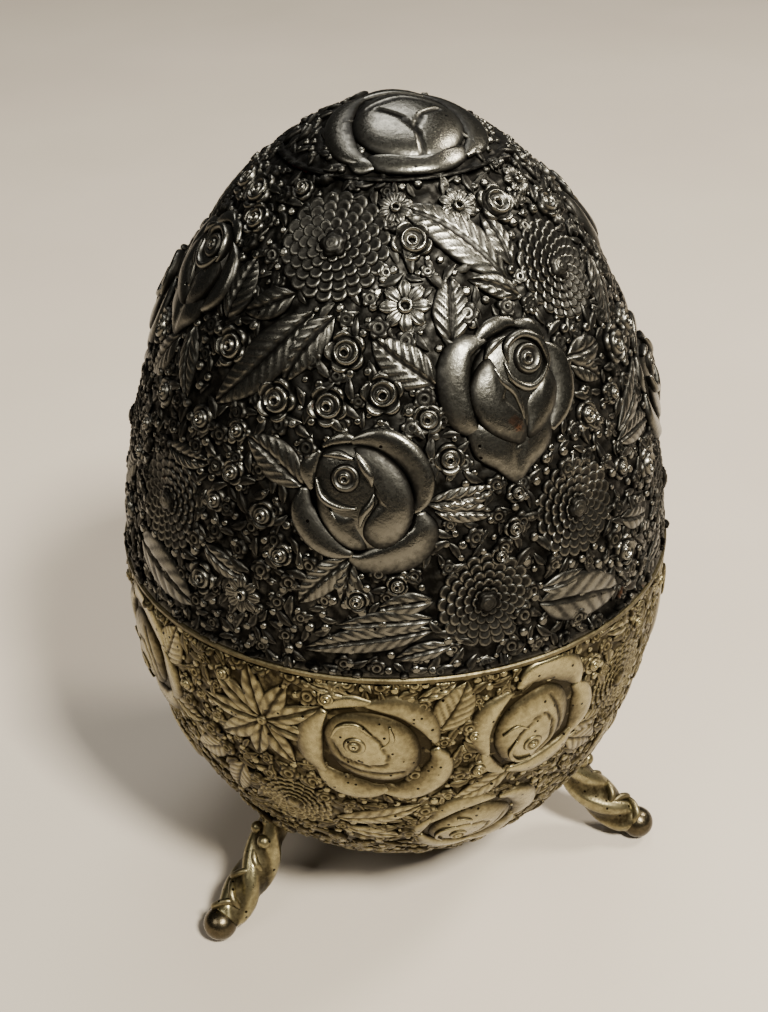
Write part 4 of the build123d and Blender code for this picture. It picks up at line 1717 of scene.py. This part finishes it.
class EGGBOX_OT_medallion(bpy.types.Operator):
    """Make the crown medallion"""

    bl_idname = "eggbox.medallion"
    bl_label = "Crown medallion"

    def execute(self, context):
        s = context.scene.eggbox_sizes
        low = CROWN_JOINT - GAP
        edge = float(EGG.run(low))
        depth = s.lid_depth / MM
        surface = chased_surface(depth, s.punch / MM, s.punch_spacing / MM, 23, edge, lip=(0.4, 0.12, 0.55))
        shell = egg_shell(EGG_HEIGHT, low, *CROWN_GRID, surface)
        rose = crown_rose().turned(0, 0, 0, -depth).on_crown(CROWN_TURN)
        obj = add_work("medallion", [shell, rose], *SILVER)
        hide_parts("lid_medallion")
        x, y, held = np.array(CROWN_COVERED).T
        centres = Work(np.column_stack([x, y, x * 0])).on_crown(CROWN_TURN).points
        height = np.clip(shell.points[:, 2] - GAP, 0, EGG_HEIGHT)
        outside = np.hypot(shell.points[:, 0], shell.points[:, 1]) > EGG.radius(height) - 1.5
        outside = outside * (np.arange(len(height)) < CROWN_GRID[0] * CROWN_GRID[2])
        free = free_of(shell, centres, held, 0.9, 1.1) * outside * (EGG.run(height) < edge - 0.45)
        scatter(shell, free, leaflet(), "medallion_leaflets", *SILVER, 1.3, 0.75, 1.2, 21)
        scatter(shell, free, berry(), "medallion_berries", *SILVER, 1.1, 0.7, 1.3, 22)
        return {"FINISHED"}


class EGGBOX_OT_bowl_ground(bpy.types.Operator):
    """Make the bowl's chased shell"""

    bl_idname = "eggbox.bowl_ground"
    bl_label = "Bowl ground"

    def execute(self, context):
        s = context.scene.eggbox_sizes
        high = BOWL_TOP - GAP
        surface = chased_surface(
            s.bowl_depth / MM, s.punch * 0.8 / MM, s.punch_spacing / MM, 9, float(EGG.run(high)), -1
        )
        work = egg_shell(high, 0.0, *GROUND_GRID, surface)
        GROUNDS["bowl"] = (work, free_ground(work, BOWL_TAKEN, 1.0, high + 0.2))
        obj = add_work("bowl_ground", [work], *GILT)
        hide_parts("bowl_shell")
        return {"FINISHED"}


class EGGBOX_OT_bowl_flowers(bpy.types.Operator):
    """Make the bowl's roses, lilies, dahlias, buds and leaves"""

    bl_idname = "eggbox.bowl_flowers"
    bl_label = "Bowl flowers"

    def execute(self, context):
        sizes = context.scene.eggbox_sizes
        depth = sizes.bowl_depth / MM
        relief = sizes.bowl_relief
        roses = laid_round(BOWL_PLAN["roses"], oval_rose(), depth, relief)
        lilies = laid_round(BOWL_PLAN["lilies"], lily(), depth, relief)
        buds = laid_round(BOWL_PLAN["buds"], rose_bud(), depth, relief)
        add_work("bowl_roses", roses, *GILT)
        add_work("bowl_lilies", lilies + buds, *GILT)
        add_work(
            "bowl_dahlias", laid_round(BOWL_PLAN["dahlias"], dahlia(sizes, GILT[-1]), depth, relief), *GILT
        )
        add_work("bowl_leaves", [laid_leaf(item, depth, relief) for item in BOWL_PLAN["leaves"]], *GILT)
        return {"FINISHED"}


class EGGBOX_OT_bowl_filler(bpy.types.Operator):
    """Scatter small leaves, berries and florets over the bowl's ground"""

    bl_idname = "eggbox.bowl_filler"
    bl_label = "Bowl filler"

    def execute(self, context):
        s = context.scene.eggbox_sizes
        work, free = GROUNDS["bowl"]
        scatter(
            work, free, leaflet().scaled(1, 0.75), "bowl_leaflets", *GILT, s.leaflet_spacing / MM, 0.75,
            1.3, 31,
        )
        scatter(
            work, free, berry().scaled(1, 0.75), "bowl_berries", *GILT, s.berry_spacing / MM, 0.7, 1.2, 32
        )
        scatter(
            work, free, floret().scaled(1, 0.8), "bowl_florets", *GILT, s.floret_spacing / MM, 0.8, 1.3, 33
        )
        return {"FINISHED"}


class EGGBOX_OT_feet(bpy.types.Operator):
    """Make the three scroll feet"""

    bl_idname = "eggbox.feet"
    bl_label = "Scroll feet"

    def execute(self, context):
        for name, azimuth in FOOT_AZIMUTHS.items():
            legs, toes = foot(azimuth)
            obj = add_work(name + "_scroll", legs, *GILT)
            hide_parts(name)
            add_work(name + "_toe", toes, "bowl", "gilt_brass", "toe_metal_worn_dark")
        return {"FINISHED"}


class EGGBOX_OT_fittings(bpy.types.Operator):
    """Finish the rim ring, hinge and linings"""

    bl_idname = "eggbox.fittings"
    bl_label = "Rim, hinge and linings"

    def execute(self, context):
        finishes = {
            "bowl_rim_ring": "pale_gilt_sheet_plain",
            "hinge_leaf_bowl": "pale_gilt_sheet_plain",
            "hinge_leaf_lid": "pale_gilt_sheet_plain",
            "hinge_pin": "drawn_steel_wire",
            "lid_lining": "rayon_flock_on_card",
            "bowl_lining": "rayon_flock_on_card",
        }
        for node, finish in finishes.items():
            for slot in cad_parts[node].material_slots:
                slot.material = bpy.data.materials[finish]
        return {"FINISHED"}


class EGGBOX_OT_stage(bpy.types.Operator):
    """Set the board, the soft lights and the camera"""

    bl_idname = "eggbox.stage"
    bl_label = "Stage"

    def execute(self, context):
        scene = context.scene
        mesh = bpy.data.meshes.new("board")
        mesh.from_pydata([(-3, -3, 0), (3, -3, 0), (3, 3, 0), (-3, 3, 0)], [], [(0, 1, 2, 3)])
        mesh.materials.append(bpy.data.materials["matt_painted_board"])
        board = bpy.data.objects.new("board", mesh)
        scene.collection.objects.link(board)
        world = bpy.data.worlds.new("room")
        world.use_nodes = True
        world.node_tree.nodes["Background"].inputs["Color"].default_value = linear("#b4b2ae")
        world.node_tree.nodes["Background"].inputs["Strength"].default_value = 0.12
        scene.world = world
        target = Vector((0, 0, 45 * MM))
        for name, place, size, power, tint in LIGHTS:
            light = bpy.data.lights.new(name, "AREA")
            light.size = size
            light.energy = power
            light.color = linear(tint)[:3]
            obj = bpy.data.objects.new(name, light)
            obj.location = place
            obj.rotation_euler = (target - Vector(place)).to_track_quat("-Z", "Y").to_euler()
            scene.collection.objects.link(obj)
        lens = bpy.data.cameras.new("camera")
        lens.lens, lens.sensor_width = CAMERA_LENS, CAMERA_SENSOR
        lens.clip_start = 0.01
        camera = bpy.data.objects.new("camera", lens)
        turn = Matrix.Rotation(math.radians(CAMERA_TURN), 3, "Z")
        basis = Matrix([turn @ Vector(axis) for axis in CAMERA_AXES]).transposed().to_4x4()
        basis.translation = turn @ Vector(CAMERA_PLACE) * MM
        camera.matrix_world = basis
        scene.collection.objects.link(camera)
        scene.camera = camera
        return {"FINISHED"}


STEPS = (
    EGGBOX_OT_finishes,
    EGGBOX_OT_lid_ground,
    EGGBOX_OT_lid_roses,
    EGGBOX_OT_lid_dahlias,
    EGGBOX_OT_lid_small_flowers,
    EGGBOX_OT_lid_leaves,
    EGGBOX_OT_lid_filler,
    EGGBOX_OT_medallion,
    EGGBOX_OT_bowl_ground,
    EGGBOX_OT_bowl_flowers,
    EGGBOX_OT_bowl_filler,
    EGGBOX_OT_feet,
    EGGBOX_OT_fittings,
    EGGBOX_OT_stage,
)


class EGGBOX_PT_panel(bpy.types.Panel):
    """The egg box's steps, in order"""

    bl_idname = "EGGBOX_PT_panel"
    bl_label = "Egg Box"
    bl_space_type = "VIEW_3D"
    bl_region_type = "UI"
    bl_category = "Egg Box"

    def draw(self, context):
        for group in (context.scene.eggbox_sizes, context.scene.eggbox_colours):
            for name in group.__annotations__:
                self.layout.prop(group, name)
        for step in STEPS:
            self.layout.operator(step.bl_idname)


CLASSES = (EggBoxSizes, EggBoxColours) + STEPS + (EGGBOX_PT_panel,)


def register():
    for cls in CLASSES:
        bpy.utils.register_class(cls)
    bpy.types.Scene.eggbox_sizes = PointerProperty(type=EggBoxSizes)
    bpy.types.Scene.eggbox_colours = PointerProperty(type=EggBoxColours)


def unregister():
    del bpy.types.Scene.eggbox_colours
    del bpy.types.Scene.eggbox_sizes
    for cls in reversed(CLASSES):
        bpy.utils.unregister_class(cls)


def main():
    register()
    for step in STEPS:
        group, name = step.bl_idname.split(".")
        getattr(getattr(bpy.ops, group), name)()
    bpy.context.view_layer.update()


if __name__ == "__main__":
    main()
